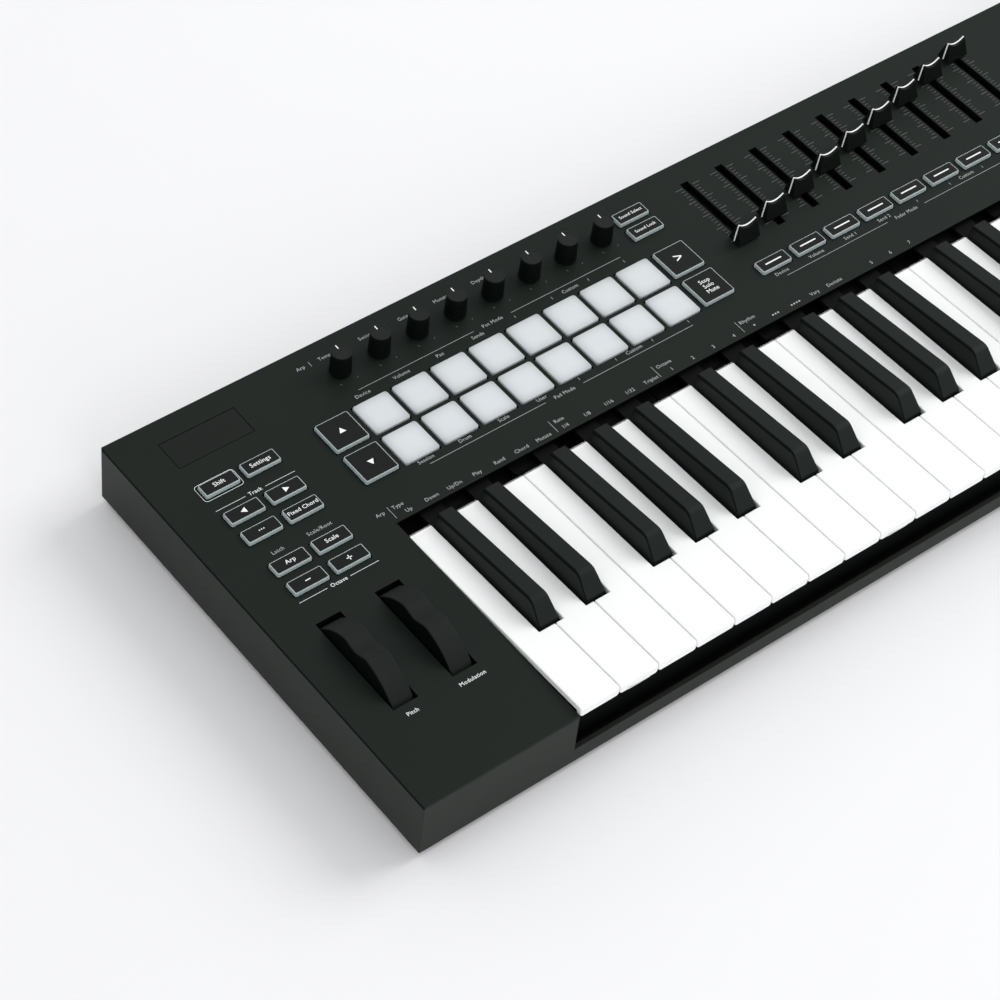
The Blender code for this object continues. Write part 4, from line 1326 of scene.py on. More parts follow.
    def build(self) -> None:
        """Models the key shapes once, copies them along the keyboard and dresses what is under them."""
        span = 7 * self.pitch
        for step in range(7):
            shape = self.white_key(step, True)
            name = "white_keys_dfa" if step in (1, 3, 5) else "white_keys_cegb"
            for octave in range(self.octaves):
                key = shape.twin("white_key_%02d" % (octave * 7 + step + 1), (octave * span, 0.0, 0.0))
                key.fit("octave_%d_%s" % (octave + 1, name), WHITE_KEY, "white_key_plastic",
                        angle=self.smooth)
            shape.scrap()
        last = self.white_key(0, False)
        top = last.twin("white_key_29", (self.octaves * span, 0.0, 0.0))
        top.fit("octave_%d_white_keys_cegb" % self.octaves, WHITE_KEY, "white_key_plastic", angle=self.smooth)
        last.scrap()
        black = self.black_key()
        for index in range(self.octaves * 5):
            octave, (step, shift) = index // 5, self.blacks[index % 5]
            key = black.twin("black_key_%02d" % (index + 1),
                             (self.white_left(octave * 7 + step) + shift, 0.0, 0.0))
            key.fit("octave_%d_black_keys" % (octave + 1), BLACK_KEY, "black_key_plastic", angle=self.smooth)
        black.scrap()
        for octave in range(self.octaves):
            for name in ("white_keys_cegb", "white_keys_dfa", "black_keys"):
                self.comb(octave, name)
        # The key frame takes its darker colour, which is painted shade.
        dress_node("key_frame", FRAME_PAINTED_SHADE)
        dress_node("key_contact_board", BOARD)
        dress_node("key_contact_strip", CONTACT)
        dress_node("key_stop_felt", FELT)


@dataclass
class ButtonBank:
    """One rubber mat: pale see-through bodies, black caps and printed legends.

    Attributes:
        node: The mat's CAD node and body.
        print_on: Prints the legends, given a printer and the caps' boxes.
        flare: How much wider a body is at the deck than at its top.
        rim: How far the cap stands in from the body's top.
        corner: The body's corner radius.
        sunk: How far the body's top lies under the button's.
        soft: Rounding of the body's top edge.
        cap_depth: How deep the cap sits in the body.
        cap_soft: Rounding of the cap's top edge.
    """

    node: str
    deck: float
    print_on: PrintOn
    flare: float = 0.28 * MM
    rim: float = 0.42 * MM
    corner: float = 0.9 * MM
    sunk: float = 0.15 * MM
    soft: float = 0.22 * MM
    cap_depth: float = 0.7 * MM
    cap_soft: float = 0.16 * MM

    def body(self, low: Vector, high: Vector) -> Workpiece:
        """Models one rubber body.

        Args:
            low: Lowest corner of the button's top.
            high: Highest corner of the button's top.

        Returns:
            The workpiece.
        """
        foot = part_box(self.node)[0].z
        body = Workpiece.block("body", (low.x, low.y, foot), (high.x, high.y, high.z - self.sunk))
        body.uprights().bevel(self.corner, 4)
        body.cut((0.0, 0.0, self.deck + 0.03 * MM), (0.0, 0.0, 1.0))
        middle = (low + high) / 2
        wide, deep = high.x - low.x, high.y - low.y
        body.points(lambda place: place.z > high.z - 0.2 * MM)
        body.resize((1 - 2 * self.flare / wide, 1 - 2 * self.flare / deep, 1.0), middle)
        body.edges(lambda place: place.z > high.z - 0.2 * MM, 30.0).bevel(self.soft, 2)
        return body

    def cap(self, low: Vector, high: Vector) -> Workpiece:
        """Models one black cap.

        Args:
            low: Lowest corner of the button's top.
            high: Highest corner of the button's top.

        Returns:
            The workpiece.
        """
        margin = self.flare + self.rim
        cap = Workpiece.block("cap", (low.x + margin, low.y + margin, high.z - self.cap_depth),
                              (high.x - margin, high.y - margin, high.z - INK / 2))
        cap.uprights().bevel(self.corner * 0.5, 3)
        cap.edges(lambda place: place.z > high.z - 0.1 * MM, 30.0).bevel(self.cap_soft, 2)
        return cap

    def build(self) -> None:
        """Builds the mat's web, bodies, caps and legends."""
        tops = raised_tops(self.node)
        web = Workpiece.from_node("web", self.node)
        web.cut((0.0, 0.0, self.deck - WEB_DROP), (0.0, 0.0, 1.0), keep=False)
        bodies, caps, models = [web], [], {}
        for low, high in tops:
            size = tuple(round((high[i] - low[i]) / MM, 1) for i in range(2))
            if size not in models:
                models[size] = (low, self.body(low, high), self.cap(low, high))
            start, body, cap = models[size]
            bodies.append(body.twin("body", low - start))
            caps.append(cap.twin("cap", low - start))
        for _, body, cap in models.values():
            body.scrap()
            cap.scrap()
        rubber = Workpiece.joined(self.node + "_rubber", bodies)
        # Painted shade: the rubber under the deck takes the caps' black, for the shade in the gaps round the
        # buttons.
        rubber.second_finish(BUTTON_CAP_AND_UNDER_DECK_SHADE, lambda place, normal: place.z < self.deck)
        rubber.fit(self.node, LIT_RUBBER, "button_rubber", (self.node,))
        Workpiece.joined(self.node + "_caps", caps).fit(self.node, BUTTON_CAP_AND_UNDER_DECK_SHADE, "button_rubber")
        printer = Printer(tops[0][1].z, 0.004)
        self.print_on(printer, tops)
        if printer.marks:
            printer.pulled(self.node + "_legends", self.node, "button_rubber")


@dataclass
class Pads:
    """Sixteen soft pads on one mat."""

    deck: float
    node: str = "pad_mat"
    corner: float = 1.6 * MM
    edge: float = 0.55 * MM
    crown: float = 0.12 * MM
    crown_steps: int = 3
    crown_share: float = 0.86

    def build(self) -> None:
        """Models one pad, copies it to each place and keeps the web under them."""
        tops = raised_tops(self.node)
        low, high = tops[0]
        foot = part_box(self.node)[0].z
        pad = Workpiece.block("pad", (low.x, low.y, foot), (high.x, high.y, high.z - self.crown))
        pad.uprights().bevel(self.corner, 5)
        pad.edges(lambda place: place.z > high.z - self.crown - NEAR, 40.0).bevel(self.edge, 5)
        pad.faces(lambda place, normal: normal.z > 0.99 and place.z > high.z - 1 * MM)
        middle = (low + high) / 2
        for _ in range(self.crown_steps):
            pad.extrude((0.0, 0.0, self.crown / self.crown_steps))
            pad.resize((self.crown_share, self.crown_share, 1.0), middle)
        for index, (place, _) in enumerate(tops):
            pad.twin("pad_%02d" % (index + 1), place - low).fit(self.node, PAD, "pad_silicone", angle=50.0)
        pad.scrap()
        web = Workpiece.from_node("pad_mat_web", self.node)
        web.cut((0.0, 0.0, self.deck - WEB_DROP), (0.0, 0.0, 1.0), keep=False)
        web.fit(self.node, CONTACT, "pad_silicone", (self.node,))


@dataclass
class Knobs:
    """Eight ribbed knobs on steel shafts.

    Attributes:
        deck: Height of the deck.
        count: How many there are.
        ribs: Ribs on a knob.
        rib_gap: How far a rib's edge stands in from its flute.
        rib_depth: How deep the flutes are.
        lift: How far a grip hangs over the deck.
        skirt: Height of the plain band under the ribs.
        brim: Height of the plain band over them.
        flare: How much wider a grip is at its foot than at its top.
        edge: Rounding of the top edge, and how far in the sunk top starts.
        dip: How far the top is sunk, and over what width.
        pointer: Half the pointer's width.
        pointer_reach: How far in from the rim the pointer starts and ends.
        shaft: The shaft's radius.
        hold: How far the shaft goes up into the grip.
    """

    deck: float
    count: int = 8
    ribs: int = 36
    rib_gap: float = 0.06 * MM
    rib_depth: float = 0.22 * MM
    lift: float = 0.6 * MM
    skirt: float = 1.1 * MM
    brim: float = 0.9 * MM
    flare: float = 0.45 * MM
    edge: float = 0.35 * MM
    dip: float = 0.12 * MM
    pointer: float = 0.32 * MM
    pointer_reach: tuple[float, float] = (0.2 * MM, 2.7 * MM)
    shaft: float = 3.0 * MM
    hold: float = 4 * MM

    def knob(self, low: Vector, high: Vector) -> tuple[Workpiece, Workpiece, Workpiece]:
        """Models the grip, its pointer and the shaft.

        Args:
            low: Lowest corner of the CAD knob.
            high: Its highest corner.

        Returns:
            The grip, the pointer and the shaft.
        """
        centre = (low + high) / 2
        foot = self.deck + self.lift
        radius = (high.x - low.x) / 2
        tip = radius - self.flare
        grip = Workpiece.rod("grip", (centre.x, centre.y, (foot + high.z) / 2), radius, high.z - foot,
                             2 * self.ribs, tip=tip)
        band = (foot + self.skirt, high.z - self.brim)
        for level in band:
            grip.cut((0.0, 0.0, level), (0.0, 0.0, 1.0))
        step = math.pi / self.ribs

        def flute(place: Vector, normal: Vector) -> bool:
            """Picks every other face of the fluted band."""
            turn = math.atan2(place.y - centre.y, place.x - centre.x) / step
            return abs(normal.z) < 0.5 and band[0] < place.z < band[1] and math.floor(turn) % 2 == 0

        grip.faces(flute).inset(self.rib_gap, -self.rib_depth, each=True)
        grip.edges(lambda place: place.z > high.z - NEAR, 40.0).bevel(self.edge, 3)
        grip.faces(lambda place, normal: normal.z > 0.95 and place.z > high.z - NEAR)
        grip.inset(self.edge).inset(self.dip, -self.dip)
        grip.second_finish(KNOB_TOP, lambda place, normal: normal.z > 0.95 and place.z > high.z - 0.2 * MM)
        near, far = self.pointer_reach
        pointer = Workpiece.block(
            "pointer", (centre.x - self.pointer, centre.y + tip - far, high.z - 0.5 * MM),
            (centre.x + self.pointer, centre.y + tip - near, high.z + INK / 2))
        pointer.edges(lambda place: place.z > high.z, 40.0).bevel(0.1 * MM, 2)
        shaft = Workpiece.rod("shaft", (centre.x, centre.y, (low.z + foot + self.hold) / 2), self.shaft,
                              foot + self.hold - low.z, 24)
        shaft.edges(lambda place: place.z < low.z + NEAR, 40.0).bevel(0.3 * MM, 2)
        shaft.cut((centre.x, centre.y + self.shaft * 0.6, 0.0), (0.0, 1.0, 0.0), keep=False)
        return grip, pointer, shaft

    def build(self) -> None:
        """Models the first knob and copies it to each place."""
        start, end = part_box("knob_1")
        pieces = self.knob(start, end)
        for index in range(self.count):
            node = "knob_%d" % (index + 1)
            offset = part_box(node)[0] - start
            grip, pointer, shaft = (piece.twin(node + "_" + piece.piece.name, offset) for piece in pieces)
            grip.fit(node, KNOB, "knob_rubber", (node,))
            pointer.fit(node, PRINT, "knob_rubber")
            shaft.fit(node, SHAFT, "knob_rubber")
        for piece in pieces:
            piece.scrap()


@dataclass
class Faders:
    """Nine slide faders: dished caps with a white line, on steel stems.

    Attributes:
        deck: Height of the deck.
        count: How many there are.
        wide: A cap's width across.
        deep: Its depth along the slot.
        crest: Its depth at the top.
        lift: How far it hangs over the deck.
        dish: How far the top is dished in the middle.
        flat: How far each end of the top stays level.
        taper: How much each end leans in.
        crest_round: Rounding along the dished top.
        columns: Steps that the dish is made in.
        line: Width of the white line.
        soft: Rounding of the other edges.
        stem: Half a stem's width and depth.
    """

    deck: float
    count: int = 9
    wide: float = 14.8 * MM
    deep: float = 9.0 * MM
    crest: float = 2.4 * MM
    lift: float = 1.3 * MM
    dish: float = 2.2 * MM
    flat: float = 0.5 * MM
    taper: float = 1.3 * MM
    crest_round: float = 0.75 * MM
    columns: int = 14
    line: float = 0.85 * MM
    soft: float = 0.3 * MM
    stem: tuple[float, float] = (1.3 * MM, 2 * MM)

    def cap(self, low: Vector, high: Vector) -> Workpiece:
        """Models one cap.

        Args:
            low: Lowest corner of the CAD fader.
            high: Its highest corner.

        Returns:
            The workpiece.
        """
        centre = (low + high) / 2
        foot = self.deck + self.lift
        cap = Workpiece.block("cap", (low.x, low.y, foot), (high.x, high.y, high.z))
        cap.points(lambda place: place.z > high.z - NEAR)
        cap.resize(((self.wide - 2 * self.taper) / self.wide, self.crest / self.deep, 1.0), centre)
        reach = self.wide / 2 - self.taper - self.flat
        lean = (self.deep - self.crest) / 2 / (high.z - foot)
        shares = [-1 + 2 * index / self.columns for index in range(self.columns + 1)]
        for share in shares:
            cap.cut((centre.x + reach * share, 0.0, 0.0), (1.0, 0.0, 0.0))
        for share in shares:
            x = centre.x + reach * share
            drop = self.dish * (1 - share ** 2)
            for side in (-1, 1):
                cap.points(lambda place: abs(place.x - x) < NEAR and place.z > high.z - NEAR
                           and side * (place.y - centre.y) > 0)
                cap.move((0.0, side * lean * drop, -drop))
        cap.edges(lambda place: place.z > high.z - self.dish - NEAR and abs(place.x - centre.x)
                  < self.wide / 2 - self.taper - NEAR and abs(place.y - centre.y) > NEAR,
                  40.0).bevel(self.crest_round, 4)
        cap.edges(lambda place: True, 50.0).bevel(self.soft, 2)
        for side in (-1, 1):
            cap.cut((0.0, centre.y + side * self.line / 2, 0.0), (0.0, 1.0, 0.0))
        cap.second_finish(PRINT, lambda place, normal: abs(place.y - centre.y) < self.line / 2
                          and normal.z > -0.5 and place.z > foot + 0.4 * MM)
        return cap

    def build(self) -> None:
        """Models the first fader and copies it to each place."""
        start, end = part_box("fader_1")
        cap = self.cap(start, end)
        centre = (start + end) / 2
        half, reach = self.stem
        stem = Workpiece.block("stem", (centre.x - half, centre.y - reach, start.z),
                               (centre.x + half, centre.y + reach, self.deck + self.lift + 1 * MM))
        stem.edges(lambda place: True, 60.0).bevel(self.soft, 2)
        for index in range(self.count):
            node = "fader_%d" % (index + 1)
            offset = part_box(node)[0] - start
            cap.twin(node + "_cap", offset).fit(node, CAP, "cap_plastic", (node,), angle=28.0)
            stem.twin(node + "_stem", offset).fit(node, SHAFT, "cap_plastic")
        cap.scrap()
        stem.scrap()


@dataclass
class ThumbWheels:
    """Two thumb wheels with round shoulders and a finger dip, on one bracket.

    Attributes:
        nodes: Their CAD nodes.
        spread: How far round from the top the rim reaches on each side, in degrees.
        dip_from: Where the finger dip starts, in degrees from the top.
        dip_to: Where it ends.
        dip: How deep it is.
        shoulder: Rounding of the rim's edges.
        steps: Steps in a full turn of the rim.
    """

    nodes: tuple[str, str] = ("pitch_wheel", "modulation_wheel")
    spread: float = 75.0
    dip_from: float = -13.0
    dip_to: float = 20.0
    dip: float = 3.3 * MM
    shoulder: float = 1.7 * MM
    steps: int = 180

    def wheel(self, low: Vector, high: Vector, axle: Vector) -> Workpiece:
        """Models one wheel.

        Args:
            low: Lowest corner of the CAD wheel.
            high: Its highest corner.
            axle: The middle of its axle.

        Returns:
            The workpiece.
        """
        radius = high.z - axle.z
        wheel = Workpiece.rod("wheel", axle, radius, high.x - low.x, self.steps, Axis.X)
        middle = (self.dip_from + self.dip_to) / 2
        span = (self.dip_to - self.dip_from) / 2
        turn = 360.0 / self.steps
        for count in range(int(self.dip_from / turn) - 1, int(self.dip_to / turn) + 2):
            angle = count * turn
            share = (angle - middle) / span
            if abs(share) >= 1:
                continue
            way = Vector((0.0, math.sin(math.radians(angle)), math.cos(math.radians(angle))))
            rim = axle + way * radius
            wheel.points(lambda place: math.hypot(place.y - rim.y, place.z - rim.z) < turn * 0.2 * MM)
            wheel.move(-way * self.dip * (0.5 + 0.5 * math.cos(math.pi * share)))
        for sign in (-1, 1):
            lean = math.radians(sign * self.spread)
            side = Vector((0.0, math.cos(lean), -math.sin(lean))) * sign
            wheel.cut(axle, side, keep=False)
        wheel.edges(lambda place: (place - axle).yz.length > radius - self.dip - 1 * MM,
                    40.0).bevel(self.shoulder, 4)
        # Painted shade: the flat sides take the darker side colour.
        wheel.second_finish(WHEEL_SIDE_PAINTED_SHADE, lambda place, normal: abs(normal.x) > 0.9)
        return wheel

    def build(self) -> None:
        """Models the first wheel and copies it to the second's place."""
        start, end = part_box(self.nodes[0])
        axle = Vector(next(joint["pos_m"] for joint in frame["joints"] if joint["child"] == self.nodes[0]))
        wheel = self.wheel(start, end, axle)
        for node in self.nodes:
            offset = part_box(node)[0] - start
            wheel.twin(node + "_rim", offset).fit(node, WHEEL, "wheel_rubber", (node,), angle=40.0)
        wheel.scrap()
        dress_node("wheel_bracket", BRACKET)


# Legends on the buttons.


def middle_of(span: Span) -> tuple[float, float]:
    """Returns the middle of a button's top."""
    return (span[0].x + span[1].x) / 2, (span[0].y + span[1].y) / 2


def print_function(printer: Printer, tops: list[Span]) -> None:
    """Prints the two function buttons."""
    for word, span in zip(("Shift", "Settings"), tops):
        printer.word(word, *middle_of(span), 3.6 * MM)


def print_track(printer: Printer, tops: list[Span]) -> None:
    """Prints the four track buttons: arrows, dots and a word."""
    for heading, span in zip((Heading.LEFT, Heading.RIGHT), tops):
        printer.arrow(*middle_of(span), 2.0 * MM, heading)
    x, y = middle_of(tops[2])
    for step in (-1, 0, 1):
        printer.dot(x + step * 1.25 * MM, y, 0.36 * MM)
    printer.word("Fixed Chord", *middle_of(tops[3]), 3.3 * MM)


def print_octave(printer: Printer, tops: list[Span]) -> None:
    """Prints the four octave buttons: two words, a minus and a plus."""
    for word, span in zip(("Arp", "Scale"), tops):
        printer.word(word, *middle_of(span), 3.6 * MM)
    for upright, span in zip((False, True), tops[2:]):
        x, y = middle_of(span)
        printer.rule(x - 1.5 * MM, x + 1.5 * MM, y, 0.55 * MM)
        if upright:
            printer.upright(x, y - 1.5 * MM, y + 1.5 * MM, 0.55 * MM)


def print_arrows(printer: Printer, tops: list[Span]) -> None:
    """Prints the two scroll buttons."""
    for heading, span in zip((Heading.UP, Heading.DOWN), tops):
        printer.arrow(*middle_of(span), 2.2 * MM, heading)


def print_scene(printer: Printer, tops: list[Span]) -> None:
    """Prints the launch button and the one with three words."""
    x, y = middle_of(tops[0])
    printer.word(">", x, y, 8.8 * MM)
    x, y = middle_of(tops[1])
    for row, word in enumerate(("Stop", "Solo", "Mute")):
        printer.word(word, x, y + (1 - row) * 3.6 * MM, 3.6 * MM)


def print_mode(printer: Printer, tops: list[Span]) -> None:
    """Prints the two mode buttons."""
    for word, span in zip(("Sound Select", "Sound Lock"), tops):
        printer.word(word, *middle_of(span), 2.75 * MM)


def print_fader(printer: Printer, tops: list[Span]) -> None:
    """Prints a white bar on each fader button."""
    for span in tops:
        x, y = middle_of(span)
        printer.rule(x - 5.4 * MM, x + 5.4 * MM, y, 0.8 * MM)


def print_transport(printer: Printer, tops: list[Span]) -> None:
    """Prints the transport buttons: words above, then the four common signs."""
    for word, span in zip(("Save", "Undo", "Click", "Loop"), tops):
        printer.word(word, *middle_of(span), 3.2 * MM)
    x, y = middle_of(tops[4])
    printer.arrow(x, y, 1.9 * MM, Heading.RIGHT)
    x, y = middle_of(tops[5])
    printer.bar(x - 1.4 * MM, x + 1.4 * MM, y - 1.4 * MM, y + 1.4 * MM)
    printer.dot(*middle_of(tops[6]), 1.7 * MM)
    x, y = middle_of(tops[7])
    for step in (-1, 1):
        printer.upright(x + step * 0.8 * MM, y - 1.5 * MM, y + 1.5 * MM, 0.7 * MM)


BANKS: dict[str, PrintOn] = {
    "function_buttons": print_function, "track_buttons": print_track, "octave_buttons": print_octave,
    "arrow_buttons": print_arrows, "scene_buttons": print_scene, "mode_buttons": print_mode,
    "fader_buttons": print_fader, "transport_buttons": print_transport}


@dataclass
class PanelPrint:
    """Everything that is printed on the deck."""

    datum: Datum
    small: float = 3.15 * MM
    column: float = 24.1
    first_pad: float = 126.0
    first_fader: float = 359.2
    fader_pitch: float = 24.3
    tick_turn: float = 35.0
    tick_half: tuple[float, float] = (0.13 * MM, 0.6 * MM)
    scale_top: float = 240.5
    scale_step: float = 2.25
    scale_steps: int = 21
    rule_low: float = 160.6
    names_low: float = 164.0

    def word(self, printer: Printer, text: str, x: float, y: float) -> None:
        """Prints a small word at millimetres from the left and front edges."""
        printer.word(text, *self.datum.at(x, y), self.small)

    def rule(self, printer: Printer, x_low: float, x_high: float, y: float) -> None:
        """Prints a thin line at millimetres from the left and front edges."""
        low, height = self.datum.at(x_low, y)
        printer.rule(low, self.datum.at(x_high, y)[0], height)

    def tick(self, printer: Printer, x: float, y: float, length: float) -> None:
        """Prints a short upright line at millimetres from the left and front edges."""
        across, height = self.datum.at(x, y)
        printer.upright(across, height - length / 2 * MM, height + length / 2 * MM)

    def headed(self, printer: Printer, name: str, x: float, y: float, runs: Sequence[float]) -> None:
        """Prints a name with a thin line on each side of it.

        Args:
            printer: Takes the marks.
            name: The name.
            x: Its middle across, in millimetres from the left edge.
            y: Its height, in millimetres from the front edge.
            runs: Where the first line starts and ends, then the second.
        """
        self.rule(printer, runs[0], runs[1], y)
        self.word(printer, name, x, y)
        self.rule(printer, runs[2], runs[3], y)

    def mode_row(self, printer: Printer, names: Sequence[str], columns: Sequence[float], y: float,
                 last: float) -> None:
        """Prints the names of a row's first columns and ticks over the rest, which share one name.

        Args:
            printer: Takes the marks.
            names: The first columns' names.
            columns: The columns, in millimetres from the left edge.
            y: The row's height, in millimetres from the front edge.
            last: The shared name's middle across.
        """
        for x, name in zip(columns, names):
            self.word(printer, name, x, y)
        for x in columns[len(names):]:
            self.tick(printer, x, y, 1.8)
        self.word(printer, "Custom", last, y)

    def left_column(self, printer: Printer) -> None:
        """Prints round the function, track and octave buttons and the wheels."""
        printer.ring(self.datum.at(21.75, 200.5), self.datum.at(44.45, 211.9), 1.9 * MM)
        for name, y, gap in (("Track", 193.5, (39.6, 51.2)), ("Octave", 125.7, (38.6, 52.0))):
            self.headed(printer, name, 45.4, y, (22.5, *gap, 68.7))
        self.word(printer, "Pitch", 28.0, 45.3)
        self.word(printer, "Modulation", 62.3, 45.0)

    def knob_ticks(self, printer: Printer) -> None:
        """Prints the ticks at the ends of the knobs' travel, each on a line from its knob's middle."""
        for index in range(8):
            for side in (-1, 1):
                across, height = self.datum.at(self.first_pad + index * self.column + side * 5.0, 226.6)
                half, reach = self.tick_half
                tick = Workpiece.block("tick", (across - half, height - reach, printer.surface - INK / 2),
                                       (across + half, height + reach, printer.surface + INK / 2))
                tick.points(lambda place: True)
                tick.turn(side * math.radians(self.tick_turn), (across, height, 0.0))
                printer.marks.append(tick)

    def knob_rows(self, printer: Printer) -> None:
        """Prints the labels over the knobs and over the lower left buttons."""
        self.word(printer, "Latch", 32.8, 157.3)
        self.word(printer, "Scale/Root", 57.0, 157.3)
        for index, name in enumerate(("Tempo", "Swing", "Gate", "Mutate", "Depth")):
            self.word(printer, name, self.first_pad + index * self.column, 246.7)
        self.word(printer, "Arp", 110.5, 246.7)
        self.tick(printer, 116.2, 246.7, 3.4)

    def pad_rows(self, printer: Printer) -> None:
        """Prints the two bracketed rows over the pads and the one below them."""
        columns = [self.first_pad + index * self.column for index in range(8)]
        for title, names, height, line in (
                ("Pot Mode", ("Device", "Volume", "Pan", "Sends"), 215.7, 219.2),
                ("Pad Mode", ("Session", "Drum", "Scale", "User"), self.names_low, self.rule_low)):
            self.mode_row(printer, names, columns, height, 258.5)
            self.headed(printer, title, 210.4, line, (126.0, 198.3, 222.5, 295.0))

    def key_strip(self, printer: Printer) -> None:
        """Prints the two rows just behind the keys."""
        for name, x in (("Arp", 86.2), ("Type", 96.6), ("Rate", 196.4), ("Octave", 264.6), ("Rhythm", 320.8)):
            self.word(printer, name, x, 148.0)
        for x in (91.6, 191.2, 257.9, 314.1):
            self.tick(printer, x, 146.0, 8.2)
        names = ("Up", "Down", "Up/Dn", "Play", "Rand", "Chord", "Mutate", "1/4", "1/8", "1/16", "1/32",
                 "Triplet", "1", "2", "3", "4")
        for index, name in enumerate(names):
            self.word(printer, name, 99.7 + index * 13.87, 143.1)
        for count, x in ((1, 321.6), (3, 336.2), (4, 350.0)):
            for step in range(count):
                across, height = self.datum.at(x + (step - (count - 1) / 2) * 1.75, 143.1)
                printer.dot(across, height, 0.55 * MM)
        self.word(printer, "Vary", 363.4, 143.1)
        self.word(printer, "Deviate", 377.2, 143.1)
        for name, x in (("5", 403.7), ("6", 417.2), ("7", 431.0)):
            self.word(printer, name, x, 143.1)

    def fader_rows(self, printer: Printer) -> None:
        """Prints the bracketed row under the fader buttons."""
        columns = [self.first_fader + index * self.fader_pitch for index in range(8)]
        self.mode_row(printer, ("Device", "Volume", "Send 1", "Send 2"), columns, self.names_low, 493.0)
        self.headed(printer, "Fader Mode", 445.2, self.rule_low, (360.0, 431.5, 458.5, 529.4))

    def transport(self, printer: Printer) -> None:
        """Prints the two words over the transport buttons."""
        for name, x in (("Hold", 614.1), ("Song", 638.2)):
            self.word(printer, name, x, self.names_low)

    def build(self) -> None:
        """Prints the deck's legends, bright ones, pale ones and dim ticks, one piece each."""
        for name, finish, parts in (
                ("panel_names", PRINT, (self.left_column,)),
                ("panel_legends", SOFT_PRINT, (self.knob_rows, self.pad_rows, self.key_strip,
                                               self.fader_rows, self.transport)),
                ("knob_ticks", DIM_PRINT, (self.knob_ticks,))):
            printer = Printer(self.datum.deck, 0.002 if finish is PRINT else -0.004)
            for part in parts:
                part(printer)
            printer.pulled(name, "root", "case_plastic", finish)

    def scales(self) -> None:
        """Prints a scale on both sides of every fader slot."""
        ladder = Printer(self.datum.deck)
        x, top = self.datum.at(self.first_fader, self.scale_top)
        for side in (-1, 1):
            for index in range(self.scale_steps):
                major = index % 5 == 0
                y = top - index * self.scale_step * MM
                reach = (3.6 * MM, (8.2 if major else 6.0) * MM)
                ends = sorted(x + side * length for length in reach)
                ladder.rule(ends[0], ends[1], y, (0.26 if major else 0.20) * MM)
        first = Workpiece.joined("fader_scale", ladder.marks)
        runs = [first.twin("run", (index * self.fader_pitch * MM, 0.0, 0.0)) for index in range(1, 9)]
        Workpiece.joined("fader_scales", [first, *runs]).fit("root", DIM_PRINT, "case_plastic")


@dataclass
class Display:
    """The smoked window over the dark screen, flush with the deck."""

    node: str = "display_window"
    edge: float = 0.16 * MM

    def build(self) -> None:
        """Gives the window a fine soft edge."""
        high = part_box(self.node)[1]
        window = Workpiece.from_node("display_pane", self.node)
        window.edges(lambda place: place.z > high.z - NEAR, 40.0).bevel(self.edge, 2)
        window.fit("root", WINDOW, "window_acrylic", (self.node,))


@dataclass
class Underneath:
    """Rubber feet and sunk screws."""

    foot_groove: float = 0.5 * MM
    foot_rim: float = 1.6 * MM
    foot_ring: float = 1.2 * MM
    groove_side: float = 0.4 * MM
    head_height: float = 2.2 * MM
    shank: float = 1.5 * MM
    recess: float = 1.3 * MM
    cross: tuple[float, float] = (0.55 * MM, 2.1 * MM)
    cross_lean: float = 0.72

    def feet(self) -> None:
        """Models one foot with a chamfer and a ring, and copies it to each corner."""
        nodes = corner_nodes("foot")
        start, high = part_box(nodes[0])
        centre = (start + high) / 2
        radius = (high.x - start.x) / 2
        foot = Workpiece.rod("foot", centre, radius, high.z - start.z, 48)
        foot.edges(lambda place: place.z < start.z + NEAR, 40.0).bevel(0.7 * MM, 3)
        foot.faces(lambda place, normal: normal.z < -0.995).inset(self.foot_rim)
        foot.inset(self.groove_side, -self.foot_groove)
        foot.inset(self.foot_ring).inset(self.groove_side, self.foot_groove)
        for node in nodes:
            foot.twin(node + "_pad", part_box(node)[0] - start).fit("root", FOOT, "foot_rubber", (node,))
        foot.scrap()

    def screws(self) -> None:
        """Models one cross-head screw and copies it to each corner."""
        nodes = corner_nodes("case_screw")
        start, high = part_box(nodes[0])
        centre = (start + high) / 2
        head = (high.x - start.x) / 2
        screw = Workpiece.rod("screw", (centre.x, centre.y, start.z + self.head_height / 2), head,
                              self.head_height, 32)
        screw.faces(lambda place, normal: normal.z > 0.9).inset(head - self.shank)
        screw.extrude((0.0, 0.0, high.z - start.z - self.head_height))
        screw.edges(lambda place: place.z < start.z + NEAR, 40.0).bevel(0.45 * MM, 3)
        screw.edges(lambda place: place.z > high.z - NEAR, 40.0).bevel(0.4 * MM, 2)
        half, reach = self.cross
        deep = start.z + self.recess
        for wide, long in ((half, reach), (reach, half)):
            arm = Workpiece.block("arm", (centre.x - wide, centre.y - long, start.z - 1 * MM),
                                  (centre.x + wide, centre.y + long, deep))
            arm.points(lambda place: place.z > deep - NEAR)
            arm.resize((self.cross_lean, self.cross_lean, 1.0), (centre.x, centre.y, deep))
            screw.carve(arm)
        for node in nodes:
            screw.twin(node + "_head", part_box(node)[0] - start).fit("root", SCREW, "screw_steel", (node,))
        screw.scrap()

    def build(self) -> None:
        """Builds the feet and the screws."""
        self.feet()
        self.screws()


